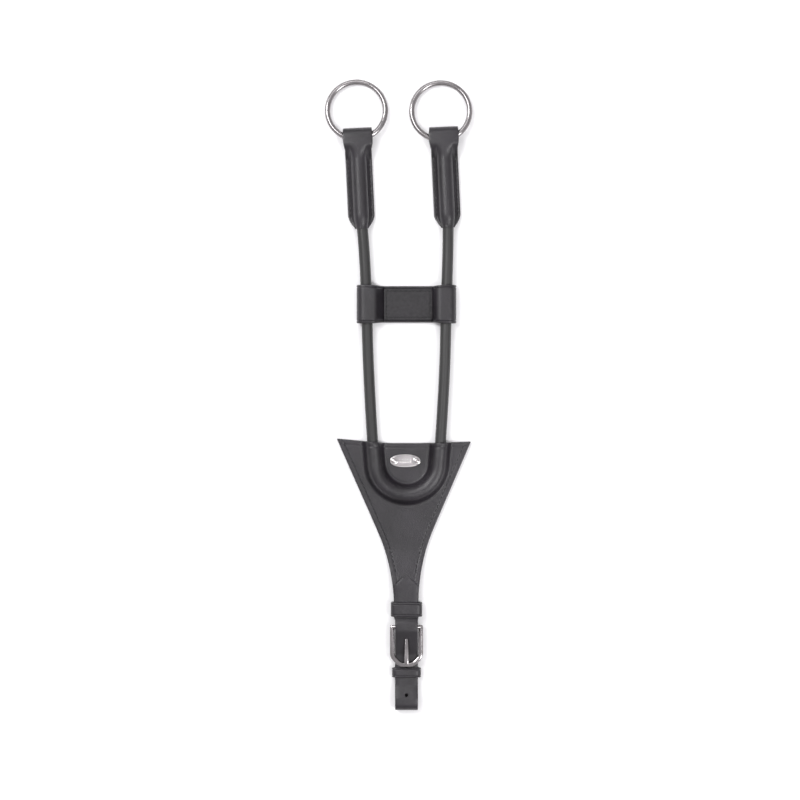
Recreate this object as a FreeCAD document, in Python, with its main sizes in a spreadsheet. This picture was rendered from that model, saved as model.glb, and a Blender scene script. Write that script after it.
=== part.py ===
"""Running martingale fork: two rings, rolled cord, slider, stitched plate and buckled strap.

The fork lies face up on its back. The origin is on the plate's back, in the middle of the
bend that the cord makes inside the plate. +X is to the right, +Y towards the rings, +Z up.
"""
import FreeCAD, Part
import Sketcher
import math
import os

from FreeCAD import Placement, Rotation, Vector

# name, value in millimetres (or degrees), what it is
SIZES = [
    ("ply", 1.8, "leather of the plate and the tabs"),
    ("strap_ply", 2.0, "leather of the billet strap"),
    ("band_ply", 1.5, "leather of the slider, its patch and the keepers"),
    ("gap", 0.3, "clearance between pieces that slide"),
    ("cord_dia", 8.0, "rolled cord"),
    ("core_dia", 4.6, "filler inside the rolled cord"),
    ("ring_radius", 21.0, "ring, to the middle of the wire"),
    ("wire_dia", 4.0, "ring wire"),
    ("tab_lean", 2.65, "how far both tabs lean to the left, degrees"),
    ("tab_fold_bore", 4.5, "inner radius of the tab's fold"),
    ("tab_fold_width", 21.6, "width of the fold"),
    ("tab_width", 19.3, "width of the sewn tab"),
    ("tab_shoulder", 59.0, "fold to the start of the tab's shoulder"),
    ("tab_length", 66.8, "fold to the end of the tab's shoulder"),
    ("slider_top", 128.6, "slider's upper edge"),
    ("slider_length", 27.7, "slider along the cords"),
    ("slider_width", 72.3, "slider across the cords"),
    ("patch_width", 35.6, "slider's centre patch"),
    ("patch_length", 23.0, "slider's centre patch"),
    ("patch_centre", 1.3, "patch's centre, right of the middle"),
    ("bend_radius", 23.2, "cord's bend inside the plate"),
    ("plate_side_radius", 140.0, "hollow of the plate's sides"),
    ("neck_end", -108.0, "lower end of the plate's back ply"),
    ("neck_rise", 3.8, "how far the neck stands off the table"),
    ("billet_width", 16.6, "billet strap"),
    ("loop_bore", 3.0, "inner radius of the strap's bottom loop"),
    ("bar_place", -119.2, "buckle's hinge bar, along the strap"),
    ("bar_height", 6.4, "middle of the hinge bar"),
    ("bar_dia", 3.0, "hinge bar"),
    ("chape_bore", 1.6, "inner radius of the turn round the bar"),
    ("buckle_width", 24.1, "buckle frame"),
    ("buckle_metal", 3.4, "width of the frame's metal"),
    ("buckle_thickness", 3.0, "thickness of the frame's metal"),
    ("buckle_reach", 29.0, "hinge bar to the frame's lower edge"),
    ("keeper_width", 22.8, "upper keeper, outside"),
    ("upper_keeper_top", -101.1, "upper keeper's upper edge"),
    ("upper_keeper_length", 10.4, "upper keeper along the strap"),
    ("lower_keeper_width", 21.0, "lower keeper, outside"),
    ("lower_keeper_top", -148.8, "lower keeper's upper edge"),
    ("lower_keeper_length", 7.0, "lower keeper along the strap"),
    ("hole_dia", 3.6, "holes punched in the billet"),
    ("badge_length", 22.0, "oval badge"),
    ("badge_width", 9.5, "oval badge"),
    ("badge_thickness", 1.2, "oval badge"),
    ("thread_width", 0.8, "bead of thread"),
    ("thread_height", 0.35, "bead of thread above the leather"),
    ("seam_inset", 3.8, "seam to the edge of the plate"),
]

# Route of the rolled cord, seen from above, from the left tab round the bend to the right tab.
CORD_ROUTE = [
    (-35.1, 229.4), (-34.3, 206.4), (-32.9, 180.4), (-30.1, 147.4), (-28.9, 115.4),
    (-28.0, 79.4), (-26.2, 41.4), (-24.3, 10.9), (-22.9, -6.2), (-16.7, -17.0),
    (-5.9, -23.2), (6.5, -23.2), (17.3, -17.0), (23.5, -6.2), (24.4, 11.4),
    (26.6, 45.4), (28.2, 79.4), (28.7, 113.4), (30.0, 147.4), (30.3, 180.4),
    (28.4, 206.4), (27.3, 229.4),
]
ARC_SHARE = 0.45    # part of the shorter run that each arc of the cord takes up

# Plate's outline, seen from above: its two upper tips and its lower corners.
LEFT_TIP = (-50.7, 17.3)
RIGHT_TIP = (46.8, 15.1)
TOP_DIP = 14.0                  # lowest stretch of the top edge
TOP_DIP_ENDS = (-13.4, 10.5)
NECK_CORNERS = ((-9.0, -77.0), (8.7, -73.5))
PLATE_TOP = 30.0                # above every point of the plate
CHANNEL_MIDDLE = 0.2            # middle of the moulded channel
CHANNEL_SPLAY = 5.0             # how far its legs spread, degrees
CHAPE_HALF = 8.3                # half the width of the turn round the buckle's bar
GLUE = 0.1                      # between the neck's front ply and its own turned end

doc = FreeCAD.newDocument("martingale")
sheet = doc.addObject("Spreadsheet::Sheet", "Sizes")
for row, (alias, value, note) in enumerate(SIZES, start=1):
    sheet.set("A%d" % row, note)
    sheet.set("B%d" % row, str(value))
    sheet.setAlias("B%d" % row, alias)
doc.recompute()


def size(alias):
    """A driving dimension as a number."""
    return float(sheet.get(alias))


PLY = size("ply")
STRAP = size("strap_ply")
BAND = size("band_ply")
GAP = size("gap")
CORD_R = size("cord_dia") / 2
CORD_Z = PLY + CORD_R
BULGE_R = CORD_R + PLY


# ---------------------------------------------------------------- helpers

def bind(thing, **expressions):
    """Bind properties of a document object to the sheet."""
    for name, expression in expressions.items():
        for alias, _, _ in SIZES:
            expression = expression.replace("{%s}" % alias, "Sizes.%s" % alias)
        thing.setExpression(name, expression)


def add(kind, name, **expressions):
    """Add a document object whose properties follow the sheet."""
    thing = doc.addObject(kind, name)
    bind(thing, **expressions)
    return thing


def place(thing, x=0.0, y=0.0, z=0.0, turn=None):
    thing.Placement = Placement(Vector(x, y, z), turn or Rotation())
    return thing


def rounded(corners, closed=False, default_radius=0.0):
    """Wire of straight runs joined by tangent arcs.

    A corner is (point, radius), or a bare point that takes the default radius.
    """
    points = []
    radii = []
    for corner in corners:
        point, radius = corner if isinstance(corner[0], Vector) else (corner, default_radius)
        points.append(point)
        radii.append(radius)
    count = len(points)
    entries, exits, arcs = [], [], []
    for i, point in enumerate(points):
        if radii[i] == 0.0 or (not closed and i in (0, count - 1)):
            entries.append(point)
            exits.append(point)
            arcs.append(None)
            continue
        back = (points[i - 1] - point).normalize()
        ahead = (points[(i + 1) % count] - point).normalize()
        half_turn = (math.pi - back.getAngle(ahead)) / 2
        reach = radii[i] * math.tan(half_turn)
        start = point + back * reach
        end = point + ahead * reach
        inward = (back + ahead).normalize()
        middle = point + inward * (radii[i] / math.cos(half_turn) - radii[i])
        entries.append(start)
        exits.append(end)
        arcs.append(Part.Arc(start, middle, end).toShape())
    edges = []
    for i in range(count):
        if arcs[i]:
            edges.append(arcs[i])
        if i == count - 1 and not closed:
            break
        following = entries[(i + 1) % count]
        if exits[i].distanceToPoint(following) > 1e-4:
            edges.append(Part.LineSegment(exits[i], following).toShape())
    return Part.Wire(edges)


def profile(name, shape):
    """Keep a wire or a face in the document as the base of other features."""
    feature = doc.addObject("Part::Feature", name)
    feature.Shape = shape
    return feature


def extrusion(name, wire, direction, length, symmetric=False):
    """Solid made from a closed wire, with its length bound to the sheet."""
    solid = doc.addObject("Part::Extrusion", name)
    solid.Base = profile(name + "_outline", Part.Face(wire))
    solid.DirMode = "Custom"
    solid.Dir = direction
    solid.Solid = True
    solid.Symmetric = symmetric
    bind(solid, LengthFwd=length)
    return solid


def boolean(kind, name, base, tool):
    solid = doc.addObject("Part::" + kind, name)
    solid.Base = base
    solid.Tool = tool
    return solid


def cut(name, base, *tools):
    """Base less every tool."""
    for number, tool in enumerate(tools, start=1):
        step = name if number == len(tools) else "%s_step%d" % (name, number)
        base = boolean("Cut", step, base, tool)
    return base


def fuse(name, *pieces):
    solid = doc.addObject("Part::MultiFuse", name)
    solid.Shapes = list(pieces)
    solid.Refine = True
    return solid


def flat(points, height=0.0):
    """Points seen from above, as vectors."""
    return [Vector(x, y, height) for x, y in points]


def side(points):
    """Points (y, z, radius) of a strap seen from its side."""
    return [(Vector(0, y, z), radius) for y, z, radius in points]


def ribbon(name, points, width, thickness):
    """Strap that follows a route in its side view, with a rectangular section."""
    route = profile(name + "_route", rounded(side(points)))
    start = route.Shape.OrderedVertexes[0].Point
    section = add("Part::Plane", name + "_section", Length=width, Width=thickness)
    doc.recompute()
    across = Rotation(Vector(1, 0, 0), 90)
    section.Placement = Placement(
        Vector(-section.Length.Value / 2, start.y, start.z - section.Width.Value / 2), across)
    return sweep(name, section, route)


def sweep(name, section, route):
    """Solid swept along every edge of a route."""
    solid = doc.addObject("Part::Sweep", name)
    solid.Sections = [section]
    solid.Spine = (route, ["Edge%d" % (n + 1) for n in range(len(route.Shape.Edges))])
    solid.Solid = True
    solid.Frenet = False
    return solid


# ---------------------------------------------------------------- rolled cord

def cord_wire():
    """The cord's route: each arc is as large as its two runs allow."""
    points = flat(CORD_ROUTE, CORD_Z)
    corners = []
    for i, point in enumerate(points):
        radius = 0.0
        if 0 < i < len(points) - 1:
            back = points[i - 1] - point
            ahead = points[i + 1] - point
            half_turn = (math.pi - back.getAngle(ahead)) / 2
            radius = ARC_SHARE * min(back.Length, ahead.Length) / math.tan(half_turn)
            print("cord arc %2d  radius %7.1f" % (i, radius))
        corners.append((point, radius))
    return rounded(corners)


def cord_tube(name, diameter):
    section = add("Part::Circle", name + "_section", Radius="{%s} / 2" % diameter)
    start = flat(CORD_ROUTE, CORD_Z)[0]
    along = flat(CORD_ROUTE, CORD_Z)[1] - start
    section.Placement = Placement(start, Rotation(Vector(0, 0, 1), along))
    return sweep(name, section, cord_route)


cord_route = profile("cord_route", cord_wire())
cord_solid = cord_tube("cord_solid", "cord_dia")
cord_core = cord_tube("cord_core", "core_dia")
rolled_cord = cut("rolled_cord", cord_solid, cord_core)


# ---------------------------------------------------------------- rings and tabs

FOLD_BORE = size("tab_fold_bore")
FOLD_R = FOLD_BORE + PLY
FOLD_Z = PLY + FOLD_BORE
LEAN = size("tab_lean")
# side, middle of the fold, how far the fold's middle is above the ring's pivot,
# how far the pivot is above the wire, and how far the ring sits to the side
TABS = [
    ("left", (-35.41, 236.3), 0.4, 1.5, 0.0),
    ("right", (26.99, 237.1), 1.1, 2.1, -1.3),
]


def ring(hand, fold, below_fold, above_wire, sideways):
    """Ring that hangs in its tab's fold and lies with its far side on the table."""
    radius = size("ring_radius")
    wire = size("wire_dia") / 2
    to_centre = radius - above_wire
    droop = math.asin((FOLD_Z - wire) / (to_centre + radius))
    lean = Rotation(Vector(0, 0, 1), LEAN)
    pivot = Vector(fold[0], fold[1], FOLD_Z) - lean.multVec(Vector(0, below_fold, 0))
    reach = Vector(sideways, to_centre * math.cos(droop), -to_centre * math.sin(droop))
    solid = add("Part::Torus", hand + "_ring", Radius1="{ring_radius}", Radius2="{wire_dia} / 2")
    tilt = Rotation(Vector(1, 0, 0), -math.degrees(droop))
    solid.Placement = Placement(pivot + lean.multVec(reach), lean.multiply(tilt))
    print("%s ring: pivot %s, centre %s" % (hand, pivot, solid.Placement.Base))
    return solid


def tab(hand, fold):
    """Leather folded over the ring and sewn round the end of the cord."""
    lean = Rotation(Vector(0, 0, 1), LEAN)
    half = size("tab_width") / 2
    fold_half = size("tab_fold_width") / 2
    shoulder = -size("tab_shoulder")
    end = -size("tab_length")
    neck = BULGE_R - 1.0
    outline = [
        (Vector(-fold_half, 0, 0), 0.0), (Vector(-half, -11, 0), 20.0),
        (Vector(-half, shoulder, 0), 5.0), (Vector(-neck, end, 0), 0.0),
        (Vector(neck, end, 0), 0.0), (Vector(half, shoulder, 0), 5.0),
        (Vector(half, -11, 0), 20.0), (Vector(fold_half, 0, 0), 0.0),
    ]
    flange = extrusion(hand + "_tab_flange", rounded(outline, closed=True),
                       Vector(0, 0, 1), "2 * {ply}")
    ridge = add("Part::Cylinder", hand + "_tab_ridge", Radius="{cord_dia} / 2 + {ply}",
                Height="{tab_shoulder} - 4")
    collar = add("Part::Cone", hand + "_tab_collar", Radius1="{cord_dia} / 2 + {ply}",
                 Radius2="{cord_dia} / 2 + 0.7", Height="{tab_length} + 6 - {tab_shoulder}")
    down = Rotation(Vector(1, 0, 0), 90)
    place(ridge, y=-4, z=CORD_Z, turn=down)
    place(collar, y=shoulder, z=CORD_Z, turn=down)
    high = FOLD_Z + FOLD_R
    turn = [
        (-6.5, 0.0, 0), (FOLD_R, 0.0, FOLD_R - 0.01), (FOLD_R, high, FOLD_R - 0.01),
        (-6.5, high, 6.0), (-17.0, 2 * PLY, 0), (-17.0, 0.0, 0),
    ]
    body = extrusion(hand + "_tab_turn", rounded(side(turn), closed=True),
                     Vector(1, 0, 0), "{tab_fold_width}", symmetric=True)
    eye = [
        (-6.2, PLY, 0), (FOLD_BORE, PLY, FOLD_BORE - 0.01),
        (FOLD_BORE, high - PLY, FOLD_BORE - 0.01), (-6.2, high - PLY, 0),
    ]
    opening = extrusion(hand + "_tab_eye", rounded(side(eye), closed=True),
                        Vector(1, 0, 0), "2 * {tab_fold_width}", symmetric=True)
    sleeve = fuse(hand + "_tab_sleeve", flange, ridge, collar, body)
    sleeve.Placement = Placement(Vector(fold[0], fold[1], 0), lean)
    opening.Placement = Placement(Vector(fold[0], fold[1], 0), lean)
    return cut(hand + "_tab", sleeve, cord_solid, opening)


def tab_thread(hand, fold):
    """One bead of thread down each sewn edge of the tab."""
    lean = Rotation(Vector(0, 0, 1), LEAN)
    inset = size("tab_width") / 2 - 1.9
    rows = []
    for number, across in enumerate((-inset, inset)):
        row_box = add("Part::Box", "%s_tab_row%d" % (hand, number), Length="{thread_width}",
                      Width="{tab_shoulder} - 21", Height="{thread_height}")
        rows.append(place(row_box, x=across - size("thread_width") / 2,
                          y=-size("tab_shoulder") + 2, z=2 * PLY))
    thread = doc.addObject("Part::Compound", hand + "_tab_thread")
    thread.Links = rows
    thread.Placement = Placement(Vector(fold[0], fold[1], 0), lean)
    return thread


subparts = [rolled_cord, cord_core]
for hand, fold, below_fold, above_wire, sideways in TABS:
    subparts.append(ring(hand, fold, below_fold, above_wire, sideways))
    subparts.append(tab(hand, fold))
    subparts.append(tab_thread(hand, fold))


# ---------------------------------------------------------------- slider

SLIDER_HIGH = CORD_Z + CORD_R + GAP + BAND
SLIDER_BASE = size("slider_top") - size("slider_length")


def across(points):
    """Points (x, z, radius) seen along the strap, at y = 0."""
    return [(Vector(x, 0, z), radius) for x, z, radius in points]


def slider_band():
    """Band round both cords, its front and back sewn together in the middle."""
    half = size("slider_width") / 2
    end = SLIDER_HIGH / 2 - 0.1
    middle = 2 * BAND
    outer = [
        (-half, 0, end), (half, 0, end), (half, SLIDER_HIGH, end),
        (19.9, SLIDER_HIGH, 1.5), (19.3, middle, 0), (-17.0, middle, 0),
        (-19.9, SLIDER_HIGH, 2.5), (-half, SLIDER_HIGH, end),
    ]
    inner_high = SLIDER_HIGH - BAND
    wall = half - BAND
    bore = end - BAND
    left = [(-wall, BAND, bore), (-18.3, BAND, 0), (-21.0, inner_high, 2.0),
            (-wall, inner_high, bore)]
    right = [(wall, BAND, bore), (wall, inner_high, bore), (21.2, inner_high, 0.5),
             (20.4, BAND, 0)]
    along = Vector(0, 1, 0)
    band = extrusion("slider_blank", rounded(across(outer), closed=True), along,
                     "{slider_length}")
    passages = [
        extrusion("slider_" + name, rounded(across(points), closed=True), along,
                  "{slider_length} + 2")
        for name, points in (("left_passage", left), ("right_passage", right))
    ]
    place(band, y=SLIDER_BASE)
    for passage in passages:
        place(passage, y=SLIDER_BASE - 1)
    return cut("slider_band", band, *passages)


def rectangle_sketch(body, name, width, length, centre_x, centre_y):
    """Rectangle in the body's own XY plane, sized and placed by the sheet."""
    plane = next(f for f in body.Origin.OriginFeatures if f.Role == "XY_Plane")
    sketch = body.newObject("Sketcher::SketchObject", name)
    sketch.AttachmentSupport = [(plane, "")]
    sketch.MapMode = "FlatFace"
    corners = [Vector(-1, -1, 0), Vector(1, -1, 0), Vector(1, 1, 0), Vector(-1, 1, 0)]
    for i in range(4):
        sketch.addGeometry(Part.LineSegment(corners[i], corners[(i + 1) % 4]))
    for i in range(4):
        sketch.addConstraint(Sketcher.Constraint("Coincident", i, 2, (i + 1) % 4, 1))
        sketch.addConstraint(Sketcher.Constraint("Horizontal" if i % 2 == 0 else "Vertical", i))
    places = [("left", "DistanceX", 1, "%s - (%s) / 2" % (centre_x, width)),
              ("low", "DistanceY", 1, "%s - (%s) / 2" % (centre_y, length)),
              ("right", "DistanceX", 2, "%s + (%s) / 2" % (centre_x, width))]
    for label, kind, end, expression in places:
        number = sketch.addConstraint(Sketcher.Constraint(kind, -1, 1, 0, end, 1.0))
        sketch.renameConstraint(number, label)
        bind(sketch, **{"Constraints." + label: expression})
    number = sketch.addConstraint(Sketcher.Constraint("DistanceY", 1, 1, 1, 2, 2.0))
    sketch.renameConstraint(number, "length")
    bind(sketch, **{"Constraints.length": length})
    return sketch


def slab(name, width, length, thickness, centre_x, centre_y, base, corner):
    """Flat piece with rounded corners: a body with one pad and one fillet."""
    body = doc.addObject("PartDesign::Body", name)
    sketch = rectangle_sketch(body, name + "_sketch", width, length, centre_x, centre_y)
    pad = body.newObject("PartDesign::Pad", name + "_pad")
    pad.Profile = sketch
    bind(pad, Length=thickness)
    doc.recompute()
    uprights = ["Edge%d" % (n + 1) for n, edge in enumerate(pad.Shape.Edges)
                if abs(edge.Vertexes[0].Z - edge.Vertexes[-1].Z) > 0.5]
    fillet = body.newObject("PartDesign::Fillet", name + "_corners")
    fillet.Base = (pad, uprights)
    fillet.Radius = corner
    body.Tip = fillet
    return place(body, z=base)


slider_patch = slab("slider_patch", "{patch_width}", "{patch_length}", "{band_ply}",
                    "{patch_centre}", "{slider_top} - {slider_length} / 2", 2 * BAND, 1.5)


def frame_bead(name, width, length, centre, base):
    """Rectangular bead of thread."""
    inner = size("thread_width")
    x, y = centre

    def loop(grow):
        w = width / 2 + grow
        d = length / 2 + grow
        return rounded(flat([(x - w, y - d), (x + w, y - d), (x + w, y + d), (x - w, y + d)],
                            base), closed=True)
    outer_wire = extrusion(name + "_outer", loop(inner / 2), Vector(0, 0, 1), "{thread_height}")
    inner_wire = extrusion(name + "_inner", loop(-inner / 2), Vector(0, 0, 1),
                           "{thread_height}")
    return cut(name, outer_wire, inner_wire)


slider_thread = frame_bead(
    "slider_thread", size("patch_width") - 4.0, size("patch_length") - 4.0,
    (size("patch_centre"), SLIDER_BASE + size("slider_length") / 2), 3 * BAND)
subparts += [slider_band(), slider_patch, slider_thread]


# ---------------------------------------------------------------- plate

NECK_END = size("neck_end")
RISE = size("neck_rise")
BAR_Y = size("bar_place")
BAR_Z = size("bar_height")
TURN_R = size("chape_bore") + PLY / 2


def plate_outline(base, inset=0.0, low_end=-140.0):
    """Triangle with hollow sides that narrows to the neck strap."""
    side_radius = size("plate_side_radius")
    (left_x, left_y), (right_x, right_y) = NECK_CORNERS
    corners = [
        (Vector(*LEFT_TIP, base), 1.0), (Vector(left_x, left_y, base), side_radius),
        (Vector(left_x, low_end, base), 0.0), (Vector(right_x, low_end, base), 0.0),
        (Vector(right_x, right_y, base), side_radius), (Vector(*RIGHT_TIP, base), 1.0),
        (Vector(TOP_DIP_ENDS[1], TOP_DIP, base), 60.0),
        (Vector(TOP_DIP_ENDS[0], TOP_DIP, base), 60.0),
    ]
    wire = rounded(corners, closed=True)
    return wire.makeOffset2D(-inset) if inset else wire


def plate_blank(name):
    return extrusion(name, plate_outline(-5), Vector(0, 0, 1), "40")


def plate_back():
    """Flat lining, which rises at the neck to clear the strap behind it."""
    middle = PLY / 2
    route = [(60, middle, 0), (-64, middle, 30), (-89, middle + RISE, 30),
             (NECK_END, middle + RISE, 0)]
    sheet_ply = ribbon("plate_back_ply", route, "140", "{ply}")
    return boolean("Common", "plate_back", sheet_ply, plate_blank("plate_back_blank"))


def arch(name, radius):
    """Round-topped channel over the cord's bend, standing on the plate's back ply.

    It is one arc between two legs that spread as the cord does.
    """
    bend = size("bend_radius")
    splay = math.radians(CHANNEL_SPLAY)
    centre = Vector(CHANNEL_MIDDLE, 0, CORD_Z)
    foot = Vector(0, 0, PLY - CORD_Z)
    inner = Vector(-math.cos(splay), -math.sin(splay), 0)
    start = centre + inner * bend
    near, far = start - inner * radius, start + inner * radius
    section = Part.Face(Part.Wire([
        Part.Arc(far, start + Vector(0, 0, radius), near).toShape(),
        Part.LineSegment(near, near + foot).toShape(),
        Part.LineSegment(near + foot, far + foot).toShape(),
        Part.LineSegment(far + foot, far).toShape(),
    ]))
    turn = 180.0 - 2 * CHANNEL_SPLAY
    bent = section.revolve(centre, Vector(0, 0, 1), turn)
    leg = section.extrude(Vector(-math.sin(splay), math.cos(splay), 0) * PLATE_TOP)
    other = leg.mirror(centre, Vector(1, 0, 0))
    return profile(name, leg.multiFuse([bent, other]))


def plate_front():
    """Front ply: moulded over the cord's bend, and turned round the buckle's bar below."""
    middle = PLY * 1.5
    return_end = NECK_END - 1.0
    bar_top = BAR_Z + TURN_R
    bar_low = BAR_Z - TURN_R
    round_end = BAR_Y - TURN_R
    neck = middle + RISE + GLUE
    route = [
        (60, middle, 0), (-63.3, middle, 28), (-89, neck, 32),
        (-112.9, neck, 3), (-116.9, bar_top, 3),
        (round_end, bar_top, TURN_R - 0.01), (round_end, bar_low, TURN_R - 0.01),
        (-117.3, bar_low, 3), (-113.5, PLY / 2 + RISE, 3), (return_end, PLY / 2 + RISE, 0),
    ]
    ply = ribbon("plate_front_ply", route, "140", "{ply}")
    blank = plate_blank("plate_front_blank")
    flat_ply = boolean("Common", "plate_front_flat", ply, blank)
    over_cord = boolean("Common", "plate_front_moulding",
                        arch("plate_moulding", BULGE_R),
                        extrusion("plate_moulding_area", plate_outline(0), Vector(0, 0, 1), "20"))
    whole = fuse("plate_front_whole", flat_ply, over_cord)
    slot = add("Part::Box", "tongue_slot", Length="4.8", Width="12", Height="12")
    place(slot, x=-2.4, y=BAR_Y - 5, z=2)
    tools = [arch("plate_channel", CORD_R + 0.4), slot]
    for name, corner in (("left", -12 - CHAPE_HALF), ("right", CHAPE_HALF)):
        shoulder = add("Part::Box", "chape_" + name, Length="12", Width="12", Height="20")
        tools.append(place(shoulder, x=corner, y=BAR_Y - 8.4))
    return cut("plate_front", whole, *tools)


def plate_thread():
    """Bead of thread along the flat part of the plate's edges, clear of the moulding."""
    base = 2 * PLY
    inset = size("seam_inset")
    half = size("thread_width") / 2
    outer_bead = extrusion("plate_thread_outer", plate_outline(base, inset - half),
                           Vector(0, 0, 1), "{thread_height}")
    inner_bead = extrusion("plate_thread_inner", plate_outline(base, inset + half),
                           Vector(0, 0, 1), "{thread_height}")
    below = add("Part::Box", "plate_thread_end", Length="200", Width="200", Height="20")
    place(below, x=-100, y=-262, z=0)
    moulding = arch("plate_thread_gap", BULGE_R + GAP)
    return cut("plate_thread", outer_bead, inner_bead, below, moulding)


subparts += [plate_back(), plate_front(), plate_thread()]


# ---------------------------------------------------------------- badge

BADGE_BASE = 2 * PLY
BADGE_PLACE = (-0.9, 1.1)
RIVET_REACH = 8.2


def badge_plate():
    """Oval metal badge with a raised rim."""
    x, y = BADGE_PLACE
    half = size("badge_length") / 2
    r = size("badge_width") / 2

    def oval(grow, base):
        w = half + grow
        d = r + grow
        corners = [(x - w, y - d), (x + w, y - d), (x + w, y + d), (x - w, y + d)]
        return rounded(flat(corners, base), closed=True, default_radius=d - 0.01)
    blank = extrusion("badge_blank", oval(0, BADGE_BASE), Vector(0, 0, 1), "{badge_thickness}")
    hollow = extrusion("badge_hollow", oval(-0.9, BADGE_BASE + 0.8), Vector(0, 0, 1),
                       "{badge_thickness}")
    sunk = cut("badge_dish", blank, hollow)
    holes = [rivet_part("badge_hole%d" % n, "0.75", "4", across, BADGE_BASE - 1)
             for n, across in enumerate((-RIVET_REACH, RIVET_REACH))]
    return cut("badge_plate", sunk, *holes)


def rivet_part(name, radius, height, across_by, base):
    stem = add("Part::Cylinder", name, Radius=radius, Height=height)
    return place(stem, x=BADGE_PLACE[0] + across_by, y=BADGE_PLACE[1], z=base)


def badge_rivets():
    """Two small rivets, one at each end of the badge."""
    rivets = []
    for n, across_by in enumerate((-RIVET_REACH, RIVET_REACH)):
        stem = rivet_part("rivet_stem%d" % n, "0.75", "0.9", across_by, BADGE_BASE)
        head = rivet_part("rivet_head%d" % n, "1.5", "0.7", across_by, BADGE_BASE + 0.8)
        rivets.append(fuse("rivet%d" % n, stem, head))
    pair = doc.addObject("Part::Compound", "badge_rivets")
    pair.Links = rivets
    return pair


subparts += [badge_plate(), badge_rivets()]


# ---------------------------------------------------------------- billet strap

BILLET_HOLES = (-148.9, -168.3)


def billet_strap():
    """Strap sewn behind the neck: down, round the bottom loop, and up through the buckle."""
    half = STRAP / 2
    under = RISE - half - 0.05
    loop_r = size("loop_bore") + half
    loop_top = 2 * (half + size("loop_bore")) + half
    bottom = -179.6 + half
    over_bar = BAR_Z + size("chape_bore") + PLY + 0.25 + half
    over_neck = RISE + 2 * PLY + GAP + half
    in_keeper = BAND + GAP + STRAP + GAP + half
    route = [
        (-77.6, 1.02, 0), (-89.0, under, 28), (-113.0, under, 3), (-116.5, 1.6, 3),
        (-121.5, half, 6), (-143.5, half, 4), (-147.3, BAND + GAP + half, 4),
        (-161.0, BAND + GAP + half, 4), (-165.5, half, 4), (bottom, half, loop_r - 0.01),
        (bottom, loop_top, loop_r - 0.01), (-170.5, loop_top, 5), (-162.0, in_keeper, 5),
        (-139.0, in_keeper, 8), (-121.5, over_bar, 6), (-116.1, over_bar, 3),
        (-112.6, over_neck, 3), (-88.0, over_neck, 30), (-81.9, over_neck - 0.9, 0),
    ]
    strap = ribbon("billet_ribbon", route, "{billet_width}", "{strap_ply}")
    tools = []
    for number, place_y in enumerate(BILLET_HOLES):
        hole = add("Part::Cylinder", "billet_hole%d" % number, Radius="{hole_dia} / 2",
                   Height="20")
        tools.append(place(hole, y=place_y, z=in_keeper - half - 0.6))
    slot = [(-2.1, -137.6), (2.1, -137.6), (2.1, -122.5), (-2.1, -122.5)]
    tools.append(extrusion("billet_slot",
                           rounded(flat(slot, STRAP + 1.8), closed=True, default_radius=2.05),
                           Vector(0, 0, 1), "20"))
    for name, sign in (("left", -1), ("right", 1)):
        corner = [(sign * 30, -88.4), (sign * 30, -70), (0, -70), (0, -81.9),
                  (sign * size("billet_width") / 2, -88.4)]
        tools.append(extrusion("billet_point_" + name,
                               rounded(flat(corner, over_neck - half - 1.6), closed=True),
                               Vector(0, 0, 1), "20"))
    return cut("billet_strap", strap, *tools)


# ---------------------------------------------------------------- buckle

FRAME_LIFT = 2.0       # the frame's lower bar stands this much above the hinge bar


def buckle_frame():
    """Frame with square upper corners, a round lower end and its hinge bar."""
    half = size("buckle_width") / 2
    metal = size("buckle_metal")
    thick = size("buckle_thickness")
    low = -size("buckle_reach")

    def loop(grow, top, base):
        w = half - grow
        slope = 6.8 - grow * 0.8
        bend = slope * 1.1
        corners = [
            (Vector(-w, top, base), 1.5), (Vector(-w, low + slope + grow, base), bend),
            (Vector(-w + slope, low + grow, base), bend),
            (Vector(w - slope, low + grow, base), bend),
            (Vector(w, low + slope + grow, base), bend), (Vector(w, top, base), 1.5),
        ]
        return rounded(corners, closed=True)
    blank = extrusion("buckle_blank", loop(0, 1.8, -thick / 2), Vector(0, 0, 1),
                      "{buckle_thickness}")
    window = extrusion("buckle_window", loop(metal, 30, -10), Vector(0, 0, 1), "20")
    bar = add("Part::Cylinder", "buckle_bar", Radius="{bar_dia} / 2",
              Height="{buckle_width} - {buckle_metal}")
    place(bar, x=-(size("buckle_width") - metal) / 2,
          turn=Rotation(Vector(0, 1, 0), 90))
    sides = cut("buckle_sides", blank, window)
    frame = fuse("buckle_frame", sides, bar)
    rise = math.degrees(math.atan2(FRAME_LIFT, size("buckle_reach")))
    return place(frame, y=BAR_Y, z=BAR_Z, turn=Rotation(Vector(1, 0, 0), -rise))


def buckle_tongue():
    """Tongue: an eye round the hinge bar and a shank that rests on the lower bar."""
    clear = size("bar_dia") / 2 + 0.05
    eye = add("Part::Cylinder", "tongue_eye", Radius="{bar_dia} / 2 + 1.35", Height="3.6")
    bore = add("Part::Cylinder", "tongue_bore", Radius="{bar_dia} / 2 + 0.05", Height="10")
    turn = Rotation(Vector(0, 1, 0), 90)
    place(eye, x=-1.8, y=BAR_Y, z=BAR_Z, turn=turn)
    place(bore, x=-5, y=BAR_Y, z=BAR_Z, turn=turn)
    rest = BAR_Z + FRAME_LIFT + size("buckle_thickness") / 2 + GAP
    tip = BAR_Y - size("buckle_reach") + 1.2
    shank = [
        (BAR_Y - clear - 0.3, BAR_Z - 1.2, 0), (tip + 8, rest - 0.4, 8.0), (tip, rest, 0),
        (tip, rest + 1.6, 0.6), (tip + 8, rest + 1.9, 8.0),
        (BAR_Y - clear - 0.3, BAR_Z + 1.6, 0),
    ]
    blade = extrusion("tongue_blade", rounded(side(shank), closed=True), Vector(1, 0, 0),
                      "2.6", symmetric=True)
    return cut("buckle_tongue", fuse("tongue_whole", eye, blade), bore)


# ---------------------------------------------------------------- keepers

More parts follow.
